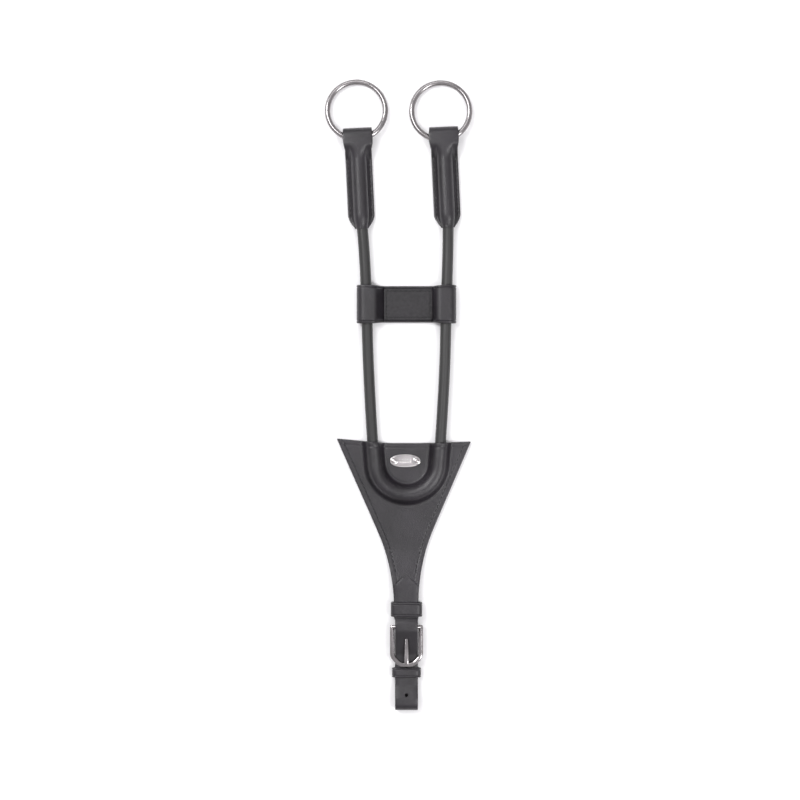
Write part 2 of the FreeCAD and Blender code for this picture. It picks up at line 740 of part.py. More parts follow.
def keeper(name, top, length, width, inner_height):
    """Leather loop round the strap."""
    half = size(width) / 2
    high = inner_height + 2 * BAND

    def loop(inset):
        corners = [(-half + inset, inset, 2.2 - inset), (half - inset, inset, 2.2 - inset),
                   (half - inset, high - inset, 2.2 - inset),
                   (-half + inset, high - inset, 2.2 - inset)]
        return rounded(across(corners), closed=True)
    along = Vector(0, 1, 0)
    outside = extrusion(name + "_outside", loop(0), along, "{%s}" % length)
    inside = extrusion(name + "_inside", loop(BAND), along, "{%s} + 2" % length)
    base = size(top) - size(length)
    place(outside, y=base)
    place(inside, y=base - 1)
    return cut(name, outside, inside)


upper_inner = GAP + RISE - BAND + 2 * PLY + GAP + STRAP
lower_inner = 3 * GAP + 2 * STRAP
subparts += [
    billet_strap(),
    buckle_frame(),
    buckle_tongue(),
    keeper("upper_keeper", "upper_keeper_top", "upper_keeper_length", "keeper_width",
           upper_inner),
    keeper("lower_keeper", "lower_keeper_top", "lower_keeper_length", "lower_keeper_width",
           lower_inner),
]

doc.recompute()
for thing in doc.Objects:
    if "Invalid" in thing.State or "Error" in thing.State:
        raise RuntimeError("%s failed: %s" % (thing.Name, thing.State))
for piece in subparts:
    if piece.Shape.isNull() or not piece.Shape.isValid():
        raise RuntimeError("%s has no valid shape" % piece.Name)

area = math.pi * CORD_R ** 2
ratio = cord_solid.Shape.Volume / (area * cord_route.Shape.Length)
print("cord length %.1f mm, volume / (section x length) %.4f" % (cord_route.Shape.Length, ratio))

os.makedirs("parts", exist_ok=True)
for piece in subparts:
    piece.Label = piece.Name
    piece.Shape.exportStep("parts/%s.step" % piece.Label)
    box = piece.Shape.BoundBox
    print("%-16s solids %d  volume %9.1f  x %6.1f %6.1f  y %6.1f %6.1f  z %5.1f %5.1f" % (
        piece.Label, len(piece.Shape.Solids), piece.Shape.Volume,
        box.XMin, box.XMax, box.YMin, box.YMax, box.ZMin, box.ZMax))
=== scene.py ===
"""Running martingale fork, built piece by piece over its solid model.

Sizes in the code are millimetres and become metres as each mesh is made. The fork lies face up:
+X to the right, +Y towards the rings, +Z up off the table.
"""
import math

import bmesh
import bpy
from mathutils import Euler, Matrix, Vector


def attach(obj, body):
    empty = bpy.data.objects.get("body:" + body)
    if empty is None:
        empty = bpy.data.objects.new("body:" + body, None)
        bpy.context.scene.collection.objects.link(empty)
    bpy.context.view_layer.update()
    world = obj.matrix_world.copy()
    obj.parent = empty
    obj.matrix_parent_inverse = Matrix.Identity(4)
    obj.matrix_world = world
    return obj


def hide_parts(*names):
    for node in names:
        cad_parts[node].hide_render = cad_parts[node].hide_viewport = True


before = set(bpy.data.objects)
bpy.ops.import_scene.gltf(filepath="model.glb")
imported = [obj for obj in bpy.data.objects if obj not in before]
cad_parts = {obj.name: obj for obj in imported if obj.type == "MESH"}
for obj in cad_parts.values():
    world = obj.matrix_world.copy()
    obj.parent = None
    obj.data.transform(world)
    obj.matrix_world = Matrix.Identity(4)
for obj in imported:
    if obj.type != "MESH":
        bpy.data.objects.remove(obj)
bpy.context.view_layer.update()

bl_info = {
    "name": "Running martingale fork",
    "version": (1, 0, 0),
    "blender": (4, 5, 0),
    "location": "View3D > Sidebar > Fork",
    "description": "Leather fork with rein rings, rolled cord, slider, stitched plate and billet",
    "category": "Object",
}

MM = 0.001
PLY = 1.8
BAND = 1.5
STRAP = 2.0
RISE = 3.8
CORD_Z = 5.8
BAR = (-119.2, 6.4)
SLIDER_TOP = 128.6
SLIDER_LENGTH = 27.7
BILLET_WIDTH = 16.6
BILLET_HOLES = (-168.3, -148.9)
HOLE_R = 1.3
FLOOR_HALF = 6.0                # metres, from the middle of the floor to its edge
SENSOR = 36.0
VIEW_WIDTH = 0.58               # metres across the camera's view
CAMERA_DISTANCE = 1.8
CAMERA_PLACE = (-0.0047, 0.0453, 1.8055)
LEAN = math.radians(2.65)

CORD_ROUTE = [
    (-35.1, 229.4), (-34.3, 206.4), (-32.9, 180.4), (-30.1, 147.4), (-28.9, 115.4),
    (-28.0, 79.4), (-26.2, 41.4), (-24.3, 10.9), (-22.9, -6.2), (-16.7, -17.0),
    (-5.9, -23.2), (6.5, -23.2), (17.3, -17.0), (23.5, -6.2), (24.4, 11.4),
    (26.6, 45.4), (28.2, 79.4), (28.7, 113.4), (30.0, 147.4), (30.3, 180.4),
    (28.4, 206.4), (27.3, 229.4),
]


# ---------------------------------------------------------------- sizes and colours

def millimetres(name, description, default):
    return bpy.props.FloatProperty(name=name, description=description, default=default * MM,
                                   min=0.0, precision=5, subtype="DISTANCE", unit="LENGTH")


def colour(name, description, default):
    return bpy.props.FloatVectorProperty(name=name, description=description, default=default,
                                         size=3, min=0.0, max=1.0, subtype="COLOR")


class ForkSizes(bpy.types.PropertyGroup):
    """Sizes that a user would change."""
    ring_wire: millimetres("Ring wire", "Diameter of the rein rings' wire", 4.0)
    cord: millimetres("Cord", "Diameter of the rolled cord", 8.0)
    stitch_pitch: millimetres("Stitch pitch", "From one stitch to the next", 3.3)
    stitch_length: millimetres("Stitch length", "Length of one stitch", 2.5)
    thread: millimetres("Thread", "Thickness of the thread", 0.8)
    crease_depth: millimetres("Crease depth", "Depth of the creased lines", 0.55)


class ForkColours(bpy.types.PropertyGroup):
    """Colours that a user would change."""
    leather: colour("Leather", "Colour of the leather", (0.0095, 0.0080, 0.0108))
    rolled: colour("Rolled leather", "Colour of the rolled cord", (0.0125, 0.0125, 0.0125))
    lining: colour("Lining", "Colour of the leather's flesh side", (0.032, 0.030, 0.032))
    thread: colour("Thread", "Colour of the thread", (0.005, 0.005, 0.006))
    steel: colour("Steel", "Colour of the rings and the buckle", (0.33, 0.315, 0.32))
    badge: colour("Badge", "Colour of the badge", (0.72, 0.70, 0.70))
    floor: colour("Floor", "Colour of the floor", (0.93, 0.93, 0.94))


# ---------------------------------------------------------------- materials

def node_material(name):
    material = bpy.data.materials.get(name)
    if material:
        return material, None, None
    material = bpy.data.materials.new(name)
    material.use_nodes = True
    nodes = material.node_tree.nodes
    return material, nodes, nodes["Principled BSDF"]


def link(material, out_socket, in_socket):
    material.node_tree.links.new(out_socket, in_socket)


def grain_texture(material, nodes, kind, scale, stretch=(1, 1, 1), detail=2.0):
    """Texture on object coordinates, stretched along an axis if asked."""
    place = nodes.new("ShaderNodeTexCoord")
    mapping = nodes.new("ShaderNodeMapping")
    mapping.inputs["Scale"].default_value = stretch
    texture = nodes.new(kind)
    texture.inputs["Scale"].default_value = scale
    if "Detail" in texture.inputs:
        texture.inputs["Detail"].default_value = detail
    link(material, place.outputs["Object"], mapping.inputs["Vector"])
    link(material, mapping.outputs["Vector"], texture.inputs["Vector"])
    return texture


def ramp_between(material, nodes, source, low, high, low_at=0.3, high_at=0.7):
    ramp = nodes.new("ShaderNodeValToRGB")
    ramp.color_ramp.elements[0].position = low_at
    ramp.color_ramp.elements[0].color = (*low, 1)
    ramp.color_ramp.elements[1].position = high_at
    ramp.color_ramp.elements[1].color = (*high, 1)
    link(material, source, ramp.inputs["Fac"])
    return ramp.outputs["Color"]


def range_between(material, nodes, source, low, high):
    spread = nodes.new("ShaderNodeMapRange")
    spread.inputs["From Min"].default_value = 0.3
    spread.inputs["From Max"].default_value = 0.7
    spread.inputs["To Min"].default_value = low
    spread.inputs["To Max"].default_value = high
    link(material, source, spread.inputs["Value"])
    return spread.outputs["Result"]


def bumps(material, nodes, shader, layers):
    """Chain of bump nodes: (height socket, strength, distance in metres)."""
    normal = None
    for height, strength, distance in layers:
        bump = nodes.new("ShaderNodeBump")
        bump.inputs["Strength"].default_value = strength
        bump.inputs["Distance"].default_value = distance
        link(material, height, bump.inputs["Height"])
        if normal:
            link(material, normal, bump.inputs["Normal"])
        normal = bump.outputs["Normal"]
    link(material, normal, shader.inputs["Normal"])


def leather_finish(name, shade, rough=(0.30, 0.42), lift=1.7, grain=1500.0, grain_depth=0.35,
                   sheen=0.0, stretch=(1, 1, 1)):
    """Dyed leather: cloudy colour, fine pores and a satin surface."""
    material, nodes, shader = node_material(name)
    if nodes is None:
        return material
    cloud = grain_texture(material, nodes, "ShaderNodeTexNoise", 45.0, stretch, 4.0)
    pores = grain_texture(material, nodes, "ShaderNodeTexVoronoi", grain, stretch)
    wrinkle = grain_texture(material, nodes, "ShaderNodeTexNoise", 420.0, stretch, 3.0)
    lighter = tuple(min(1.0, c * lift) for c in shade)
    darker = tuple(c * 0.75 for c in shade)
    link(material, ramp_between(material, nodes, cloud.outputs["Fac"], darker, lighter),
         shader.inputs["Base Color"])
    link(material, range_between(material, nodes, wrinkle.outputs["Fac"], *rough),
         shader.inputs["Roughness"])
    shader.inputs["Specular IOR Level"].default_value = 0.55
    shader.inputs["Sheen Weight"].default_value = sheen
    shader.inputs["Sheen Roughness"].default_value = 0.4
    bumps(material, nodes, shader, [(wrinkle.outputs["Fac"], 0.30, 0.0003),
                                    (pores.outputs["Distance"], grain_depth, 0.0002)])
    return material


def metal_finish(name, shade, rough=(0.14, 0.24), wear=0.012):
    """Polished steel, slightly clouded and scratched by use."""
    material, nodes, shader = node_material(name)
    if nodes is None:
        return material
    cloud = grain_texture(material, nodes, "ShaderNodeTexNoise", 160.0, (1, 1, 1), 5.0)
    scratch = grain_texture(material, nodes, "ShaderNodeTexNoise", 900.0, (1, 0.12, 1), 2.0)
    darker = tuple(c * 0.8 for c in shade)
    link(material, ramp_between(material, nodes, cloud.outputs["Fac"], darker, shade),
         shader.inputs["Base Color"])
    link(material, range_between(material, nodes, cloud.outputs["Fac"], *rough),
         shader.inputs["Roughness"])
    shader.inputs["Metallic"].default_value = 1.0
    bumps(material, nodes, shader, [(scratch.outputs["Fac"], wear, 0.0001)])
    return material


def colours():
    return bpy.context.scene.fork_colours


def sizes():
    return bpy.context.scene.fork_sizes


def bridle_leather():
    return leather_finish("BridleLeather", tuple(colours().leather))


def rolled_leather():
    return leather_finish("RolledLeather", tuple(colours().rolled), rough=(0.38, 0.55), lift=1.9,
                          grain=700.0, grain_depth=0.25, stretch=(1.0, 0.05, 1.0))


def lining_leather():
    return leather_finish("LiningLeather", tuple(colours().lining), rough=(0.6, 0.8), lift=1.5,
                          grain=2400.0, grain_depth=0.5, sheen=0.15)


def patch_leather():
    return leather_finish("PatchLeather", tuple(c * 0.8 for c in colours().leather),
                          rough=(0.55, 0.7), lift=1.3, grain=2000.0, grain_depth=0.4)


def waxed_thread():
    return leather_finish("WaxedThread", tuple(colours().thread), rough=(0.45, 0.6), lift=1.6,
                          grain=5000.0, grain_depth=0.4)


def ring_steel():
    return metal_finish("RingSteel", tuple(colours().steel))


def badge_metal():
    return metal_finish("BadgeMetal", tuple(colours().badge), rough=(0.12, 0.22), wear=0.03)


# ---------------------------------------------------------------- shapes

def smoothstep(low, high, value):
    t = min(1.0, max(0.0, (value - low) / (high - low)))
    return t * t * (3 - 2 * t)


def mix(a, b, t):
    return a + (b - a) * t


def interpolate(points, at):
    """Second number of sorted (first, second) pairs at a given first number."""
    if at <= points[0][0]:
        return points[0][1]
    for (a, fa), (b, fb) in zip(points, points[1:]):
        if at <= b:
            return fa if b == a else fa + (fb - fa) * (at - a) / (b - a)
    return points[-1][1]


def hermite(d, d0, h0, s0, d1):
    """Height that leaves (d0, h0) with slope s0 and reaches 0 level at d1."""
    t = (d - d0) / (d1 - d0)
    return (2 * t ** 3 - 3 * t ** 2 + 1) * h0 + (t ** 3 - 2 * t ** 2 + t) * (d1 - d0) * s0


def round_path(corners, closed=False, step=1.0, turn_step=9.0):
    """Points along straight runs joined by tangent arcs; a corner is (a, b, radius)."""
    out = []
    count = len(corners)
    for i, (a, b, radius) in enumerate(corners):
        here = Vector((a, b))
        if not closed and i in (0, count - 1) or radius <= 0:
            out.append(here)
            continue
        back = Vector(corners[i - 1][:2]) - here
        ahead = Vector(corners[(i + 1) % count][:2]) - here
        angle = back.angle(ahead)
        turn = math.pi - angle
        if turn < 1e-4:
            out.append(here)
            continue
        reach = radius * math.tan(turn / 2)
        start = here + back.normalized() * reach
        middle = here + (back.normalized() + ahead.normalized()).normalized() * (
            radius / math.cos(turn / 2))
        side = 1 if back.x * ahead.y - back.y * ahead.x < 0 else -1
        arm = start - middle
        pieces = max(2, math.ceil(math.degrees(turn) / turn_step))
        for k in range(pieces + 1):
            swing = side * turn * k / pieces
            out.append(middle + Vector((arm.x * math.cos(swing) - arm.y * math.sin(swing),
                                        arm.x * math.sin(swing) + arm.y * math.cos(swing))))
    if closed:
        out.append(out[0])
    filled = [out[0]]
    for point in out[1:]:
        gap = (point - filled[-1]).length
        if gap < 0.06:
            continue
        pieces = max(1, math.ceil(gap / step))
        last = filled[-1]
        filled += [last.lerp(point, (k + 1) / pieces) for k in range(pieces)]
    if closed and (filled[0] - filled[-1]).length < 0.06:
        filled.pop()
    return filled


def path_normals(path, closed=False):
    """Unit normals, a quarter turn left of the direction of travel."""
    normals = []
    count = len(path)
    for i in range(count):
        before = path[i - 1] if closed or i else path[0]
        after = path[(i + 1) % count] if closed or i < count - 1 else path[-1]
        along = (after - before).normalized()
        normals.append(Vector((-along.y, along.x)))
    return normals


def piece_from(name, verts, faces, material, sharp=42.0, keep=False):
    """Object in the fork's own frame from points in millimetres."""
    mesh = bpy.data.meshes.new(name)
    mesh.from_pydata([tuple(c * MM for c in v) for v in verts], [], faces)
    work = bmesh.new()
    work.from_mesh(mesh)
    bmesh.ops.remove_doubles(work, verts=work.verts, dist=2e-6)
    if not keep:
        bmesh.ops.recalc_face_normals(work, faces=work.faces)
    work.to_mesh(mesh)
    work.free()
    piece = bpy.data.objects.new(name, mesh)
    bpy.context.scene.collection.objects.link(piece)
    mesh.materials.append(material)
    soften(piece, sharp)
    return piece


def soften(piece, sharp=42.0):
    """Smooth shading, with the edges over an angle kept sharp."""
    mesh = piece.data
    work = bmesh.new()
    work.from_mesh(mesh)
    limit = math.radians(sharp)
    for face in work.faces:
        face.smooth = True
    for edge in work.edges:
        edge.smooth = len(edge.link_faces) == 2 and edge.calc_face_angle(0.0) < limit
    work.to_mesh(mesh)
    work.free()


def loft_faces(count, size, closed=False, offset=0):
    """Quads between rings of points, with one face on each open end."""
    faces = []
    for i in range(count if closed else count - 1):
        a = offset + i * size
        b = offset + ((i + 1) % count) * size
        for j in range(size):
            k = (j + 1) % size
            faces.append((a + j, a + k, b + k, b + j))
    if not closed:
        faces.append(tuple(offset + j for j in reversed(range(size))))
        faces.append(tuple(offset + (count - 1) * size + j for j in range(size)))
    return faces


def loft(name, rings, material, closed=False, sharp=42.0):
    verts = [v for ring in rings for v in ring]
    return piece_from(name, verts, loft_faces(len(rings), len(rings[0]), closed), material, sharp)


def cut_away(piece, tools, sharp=42.0, folded=False):
    """Cuts closed tools out of a piece and throws them away."""
    for tool in tools:
        cutter = piece.modifiers.new("cut", "BOOLEAN")
        cutter.operation = "DIFFERENCE"
        cutter.solver = "EXACT"
        cutter.use_self = folded
        cutter.object = tool
    done = bpy.data.meshes.new_from_object(
        piece.evaluated_get(bpy.context.evaluated_depsgraph_get()))
    piece.modifiers.clear()
    old = piece.data
    piece.data = done
    done.name = piece.name
    bpy.data.meshes.remove(old)
    for tool in tools:
        bpy.data.objects.remove(tool)
    work = bmesh.new()
    work.from_mesh(done)
    bmesh.ops.remove_doubles(work, verts=work.verts, dist=3e-6)
    bmesh.ops.dissolve_degenerate(work, edges=work.edges, dist=1e-6)
    work.to_mesh(done)
    work.free()
    if not done.polygons:
        raise RuntimeError("%s was cut away altogether" % piece.name)
    soften(piece, sharp)
    return piece


def merged(name, parts):
    """One object from several, which are removed."""
    work = bmesh.new()
    for part in parts:
        work.from_mesh(part.data)
    mesh = bpy.data.meshes.new(name)
    work.to_mesh(mesh)
    work.free()
    for material in parts[0].data.materials:
        mesh.materials.append(material)
    for part in parts:
        bpy.data.objects.remove(part)
    piece = bpy.data.objects.new(name, mesh)
    bpy.context.scene.collection.objects.link(piece)
    return piece


def cylinder(name, x, y, low, high, radius, sides=32):
    rings = [[(x + radius * math.cos(a), y + radius * math.sin(a), z)
              for a in (2 * math.pi * k / sides for k in range(sides))] for z in (low, high)]
    return loft(name, rings, bridle_leather())


def strap_section(width, thickness, creases=(), rounding=0.5, depth=None, dome=0.0):
    """Outline of a strap's cross-section, with creased lines pressed into its face.

    Points are (across, through): through is +thickness / 2 on the face.
    """
    half = width / 2
    t = thickness / 2
    r = min(rounding, t * 0.95)
    depth = sizes().crease_depth / MM if depth is None else depth
    across = {0.0, half - r}
    for inset in creases:
        for d in (-0.9, -0.45, -0.2, 0.0, 0.2, 0.45, 0.9):
            across.add(half - inset + d)
    for k in range(1, 8):
        across.add((half - r) * k / 8)
    across = sorted(a for a in across if a <= half - r)
    face = []
    for a in sorted([-a for a in across if a > 0] + across):
        press = sum(depth * math.exp(-((half - abs(a) - inset) / 0.28) ** 2)
                    - 0.35 * depth * math.exp(-((half - abs(a) - inset + 0.55) / 0.3) ** 2)
                    for inset in creases)
        face.append((a, t - press + dome * (1 - (a / half) ** 2)))
    corner = [(half - r + r * math.sin(w), t - r + r * math.cos(w))
              for w in (math.radians(d) for d in (22, 45, 68, 90))]
    low_corner = [(half - r + r * math.cos(w), -t + r - r * math.sin(w))
                  for w in (math.radians(d) for d in (0, 22, 45, 68, 90))]
    other_low = [(-x, z) for x, z in reversed(low_corner)]
    other = [(-x, z) for x, z in reversed(corner)]
    flesh = [((half - r) * k / 3, -t) for k in (2, 1, 0, -1, -2)]
    return face + corner + low_corner + flesh + other_low + other


def sweep_strap(name, path, section, to_space, material, closed=False, widths=None, sharp=42.0):
    """Strap swept along a flat path; to_space turns (path point, across) into a place."""
    normals = path_normals(path, closed)
    rings = []
    for i, (point, normal) in enumerate(zip(path, normals)):
        scale = widths(point) if widths else 1.0
        rings.append([to_space(point + normal * w, u * scale) for u, w in section])
    return loft(name, rings, material, closed, sharp)


def up_the_strap(point, across):
    """(along Y, up Z) path with its width along X."""
    return (across, point.x, point.y)


# ---------------------------------------------------------------- stitches

def stitch_tree():
    """Node tree that lays one slanting stitch every pitch along a line."""
    tree = bpy.data.node_groups.get("SaddleStitch")
    if tree:
        return tree
    tree = bpy.data.node_groups.new("SaddleStitch", "GeometryNodeTree")
    face = tree.interface
    face.new_socket("Line", in_out="INPUT", socket_type="NodeSocketGeometry")
    for label, default in (("Pitch", 3.3 * MM), ("Length", 2.5 * MM), ("Thread", 0.7 * MM),
                           ("Slant", 0.16)):
        socket = face.new_socket(label, in_out="INPUT", socket_type="NodeSocketFloat")
        socket.default_value = default
    seed = face.new_socket("Seed", in_out="INPUT", socket_type="NodeSocketInt")
    seed.default_value = 7
    face.new_socket("Finish", in_out="INPUT", socket_type="NodeSocketMaterial")
    face.new_socket("Stitches", in_out="OUTPUT", socket_type="NodeSocketGeometry")
    nodes = tree.nodes
    join = tree.links.new
    entry = nodes.new("NodeGroupInput")
    leave = nodes.new("NodeGroupOutput")
    points = nodes.new("GeometryNodeCurveToPoints")
    points.mode = "LENGTH"
    ball = nodes.new("GeometryNodeMeshUVSphere")
    ball.inputs["Segments"].default_value = 8
    ball.inputs["Rings"].default_value = 6
    ball.inputs["Radius"].default_value = 0.5
    size = nodes.new("ShaderNodeCombineXYZ")
    shaped = nodes.new("GeometryNodeTransform")
    smooth = nodes.new("GeometryNodeSetShadeSmooth")
    align = nodes.new("FunctionNodeAlignRotationToVector")
    align.axis = "X"
    align.pivot_axis = "Z"
    wander = nodes.new("FunctionNodeRandomValue")
    wander.data_type = "FLOAT"
    spread = nodes.new("ShaderNodeMath")
    spread.operation = "ADD"
    turn = nodes.new("ShaderNodeCombineXYZ")
    tilt = nodes.new("FunctionNodeRotateRotation")
    tilt.rotation_space = "LOCAL"
    scatter = nodes.new("GeometryNodeInstanceOnPoints")
    real = nodes.new("GeometryNodeRealizeInstances")
    paint = nodes.new("GeometryNodeSetMaterial")
    low = next(s for s in wander.inputs if s.name == "Min" and s.type == "VALUE")
    high = next(s for s in wander.inputs if s.name == "Max" and s.type == "VALUE")
    low.default_value = -0.05
    high.default_value = 0.05
    join(entry.outputs["Line"], points.inputs["Curve"])
    join(entry.outputs["Pitch"], points.inputs["Length"])
    join(entry.outputs["Length"], size.inputs["X"])
    join(entry.outputs["Thread"], size.inputs["Y"])
    join(entry.outputs["Thread"], size.inputs["Z"])
    join(ball.outputs["Mesh"], shaped.inputs["Geometry"])
    join(size.outputs["Vector"], shaped.inputs["Scale"])
    join(shaped.outputs["Geometry"], smooth.inputs["Geometry"])
    join(points.outputs["Tangent"], align.inputs["Vector"])
    join(entry.outputs["Seed"], wander.inputs["Seed"])
    join(entry.outputs["Slant"], spread.inputs[0])
    join(next(s for s in wander.outputs if s.type == "VALUE"), spread.inputs[1])
    join(spread.outputs["Value"], turn.inputs["Z"])
    join(align.outputs["Rotation"], tilt.inputs["Rotation"])
    join(turn.outputs["Vector"], tilt.inputs["Rotate By"])
    join(points.outputs["Points"], scatter.inputs["Points"])
    join(smooth.outputs["Geometry"], scatter.inputs["Instance"])
    join(tilt.outputs["Rotation"], scatter.inputs["Rotation"])
    join(scatter.outputs["Instances"], real.inputs["Geometry"])
    join(real.outputs["Geometry"], paint.inputs["Geometry"])
    join(entry.outputs["Finish"], paint.inputs["Material"])
    join(paint.outputs["Geometry"], leave.inputs["Stitches"])
    return tree


def stitch_row(name, lines, slant=0.16, pitch=None):
    """Stitches along lines of points in millimetres, as one plain mesh."""
    line = bpy.data.curves.new(name + "_line", "CURVE")
    line.dimensions = "3D"
    for points in lines:
        spline = line.splines.new("POLY")
        spline.points.add(len(points) - 1)
        for i, point in enumerate(points):
            spline.points[i].co = (*(c * MM for c in point), 1)
    carrier = bpy.data.objects.new(name + "_line", line)
    bpy.context.scene.collection.objects.link(carrier)
    tree = stitch_tree()
    sewing = carrier.modifiers.new("sewing", "NODES")
    sewing.node_group = tree
    wanted = {"Pitch": pitch or sizes().stitch_pitch, "Length": sizes().stitch_length,
              "Thread": sizes().thread, "Slant": slant, "Seed": 7, "Finish": waxed_thread()}
    for item in tree.interface.items_tree:
        if item.item_type == "SOCKET" and item.in_out == "INPUT" and item.name in wanted:
            sewing[item.identifier] = wanted[item.name]
    carrier.update_tag()
    bpy.context.view_layer.update()
    mesh = bpy.data.meshes.new_from_object(
        carrier.evaluated_get(bpy.context.evaluated_depsgraph_get()))
    if not mesh.polygons:
        raise RuntimeError("%s has no stitches" % name)
    mesh.name = name
    bpy.data.objects.remove(carrier)
    piece = bpy.data.objects.new(name, mesh)
    bpy.context.scene.collection.objects.link(piece)
    if not mesh.materials:
        mesh.materials.append(waxed_thread())
    return piece


# ---------------------------------------------------------------- cord, rings and tabs

class FORK_OT_cord(bpy.types.Operator):
    """Rolled leather cord from one tab, round the bend in the plate, to the other tab"""
    bl_idname = "fork.cord"
    bl_label = "Rolled cord"

    def execute(self, context):
        line = bpy.data.curves.new("RolledCord", "CURVE")
        line.dimensions = "3D"
        line.bevel_depth = sizes().cord / 2
        line.bevel_resolution = 8
        line.resolution_u = 10
        line.use_fill_caps = True
        spline = line.splines.new("NURBS")
        spline.points.add(len(CORD_ROUTE) - 1)
        for i, (x, y) in enumerate(CORD_ROUTE):
            spline.points[i].co = (x * MM, y * MM, CORD_Z * MM, 1)
        spline.order_u = 3
        spline.use_endpoint_u = True
        line.materials.append(rolled_leather())
        cord = bpy.data.objects.new("RolledCord", line)
        context.scene.collection.objects.link(cord)
        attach(cord, "fork")
        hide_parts("rolled_cord", "cord_core")
        x, y = CORD_ROUTE[0]
        return {"FINISHED"}


RINGS = (
    ("left", (-36.2880, 255.2695, 4.2296), 6.094),
    ("right", (24.8735, 254.7109, 4.2632), 6.187),
)


def rein_ring(hand, centre, droop):
    """Ring of round wire, welded shut, lying in its tab's fold."""
    turn = Matrix.Rotation(LEAN, 3, "Z") @ Matrix.Rotation(-math.radians(droop), 3, "X")
    wire = sizes().ring_wire / MM / 2
    rings = []
    count = 160
    for i in range(count):
        a = 2 * math.pi * i / count
        weld = math.exp(-((a - 4.4) / 0.045) ** 2) * 0.12
        out = Vector((math.cos(a), math.sin(a), 0))
        ring = []
        for k in range(28):
            b = 2 * math.pi * k / 28
            reach = (wire + weld * 0.5) * math.cos(b)
            rise = (wire + weld * 0.5) * math.sin(b)
            place = Vector(centre) + turn @ (out * (21.0 + reach) + Vector((0, 0, rise)))
            ring.append(tuple(place))
        rings.append(ring)
    name = hand.capitalize() + "Ring"
    piece = loft(name, rings, ring_steel(), closed=True)
    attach(piece, hand + "_ring")
    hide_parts(hand + "_ring")


class FORK_OT_rings(bpy.types.Operator):
    """Two rein rings"""
    bl_idname = "fork.rings"
    bl_label = "Rein rings"

    def execute(self, context):
        for hand, centre, droop in RINGS:
            rein_ring(hand, centre, droop)
        return {"FINISHED"}


TABS = (("left", (-35.41, 236.3)), ("right", (26.99, 237.1)))
FOLD_R = 6.3
TAB_HALF = 9.65


def tab_half(v):
    """Half the tab's width, v along it from the middle of its fold."""
    if v > -9:
        return mix(TAB_HALF, 10.8, smoothstep(-12, -2, v)) - 0.5 * smoothstep(1.5, 6.3, v)
    fade = min(1.0, max(0.0, (-56.5 - v) / 9.6))
    return mix(TAB_HALF, 5.2, fade ** 1.8)


def tab_ring(v, fold):
    """One cross-section of the tab."""
    half = tab_half(v)
    shrink = smoothstep(-57.5, -66.8, v)
    ridge = mix(5.85, 4.75, shrink)
    to_fold = smoothstep(-17.0, -5.5, v)
    curl = math.sqrt(max(0.0, FOLD_R ** 2 - v ** 2)) if v > 0 else FOLD_R
    flat = mix(2 * PLY, CORD_Z, shrink)

    def top(x):
        a = abs(x)
        if a < ridge - 0.02:
            z = CORD_Z + math.sqrt(ridge ** 2 - a ** 2)
        else:
            t = min(1.0, (a - ridge + 0.02) / 2.0)
            z = flat + (CORD_Z - flat) * (1 - math.sqrt(max(0.0, 1 - (1 - t) ** 2)))
        seam = 0.22 * math.exp(-((half - a - 1.9) / 0.5) ** 2) * (1 - to_fold) * (1 - shrink)
        bulge = FOLD_R + curl - 0.0035 * a * a * to_fold
        return mix(z - seam, bulge, to_fold)

    def bottom(x):
        low = FOLD_R - curl
        under = CORD_Z - math.sqrt(max(0.0, ridge ** 2 - min(abs(x), ridge) ** 2))
        return mix(low, under, shrink)
    inner = ridge * 0.97
    face = [half - 0.7, half - 1.2, half - 1.55, half - 1.9, half - 2.3, half - 2.8]
    face = [max(x, inner + 0.3) if x < inner + 0.3 else x for x in face]
    arch = [ridge * math.sin(math.radians(d)) for d in (84, 76, 66, 55, 44, 33, 22, 11)]
    fillet = [ridge + d for d in (1.6, 1.0, 0.5, 0.2)]
    xs = sorted(set(min(x, half - 0.65) for x in face + fillet + arch), reverse=True)
    while len(xs) < 18:
        gaps = [(xs[i] - xs[i + 1], i) for i in range(len(xs) - 1)]
        _, i = max(gaps)
        xs.insert(i + 1, (xs[i] + xs[i + 1]) / 2)
    xs = xs + [0.0] + [-x for x in reversed(xs)]
    rim = half - 0.65
    high = top(rim)
    low = bottom(rim)
    thick = max(0.2, high - low)
    groove = 0.22 * (1 - to_fold) * (1 - shrink)
    r = min(0.6, thick * 0.45)
    side = [(half - 0.2, high - r * 0.3), (half, high - r), (half, mix(low, high, 0.56)),
            (half - groove, mix(low, high, 0.5)), (half, mix(low, high, 0.44)),
            (half, low + r), (half - 0.2, low + r * 0.3)]
    ring = [(x, top(x)) for x in reversed(xs)]
    ring += side
    unders = [rim * k / 8 for k in range(8, -9, -1)]
    ring += [(x, bottom(x)) for x in unders]
    ring += [(-x, z) for x, z in reversed(side)]
    turn = Matrix.Rotation(LEAN, 2)
    out = []
    for x, z in ring:
        place = turn @ Vector((x, v))
        out.append((fold[0] + place.x, fold[1] + place.y, z))
    return out


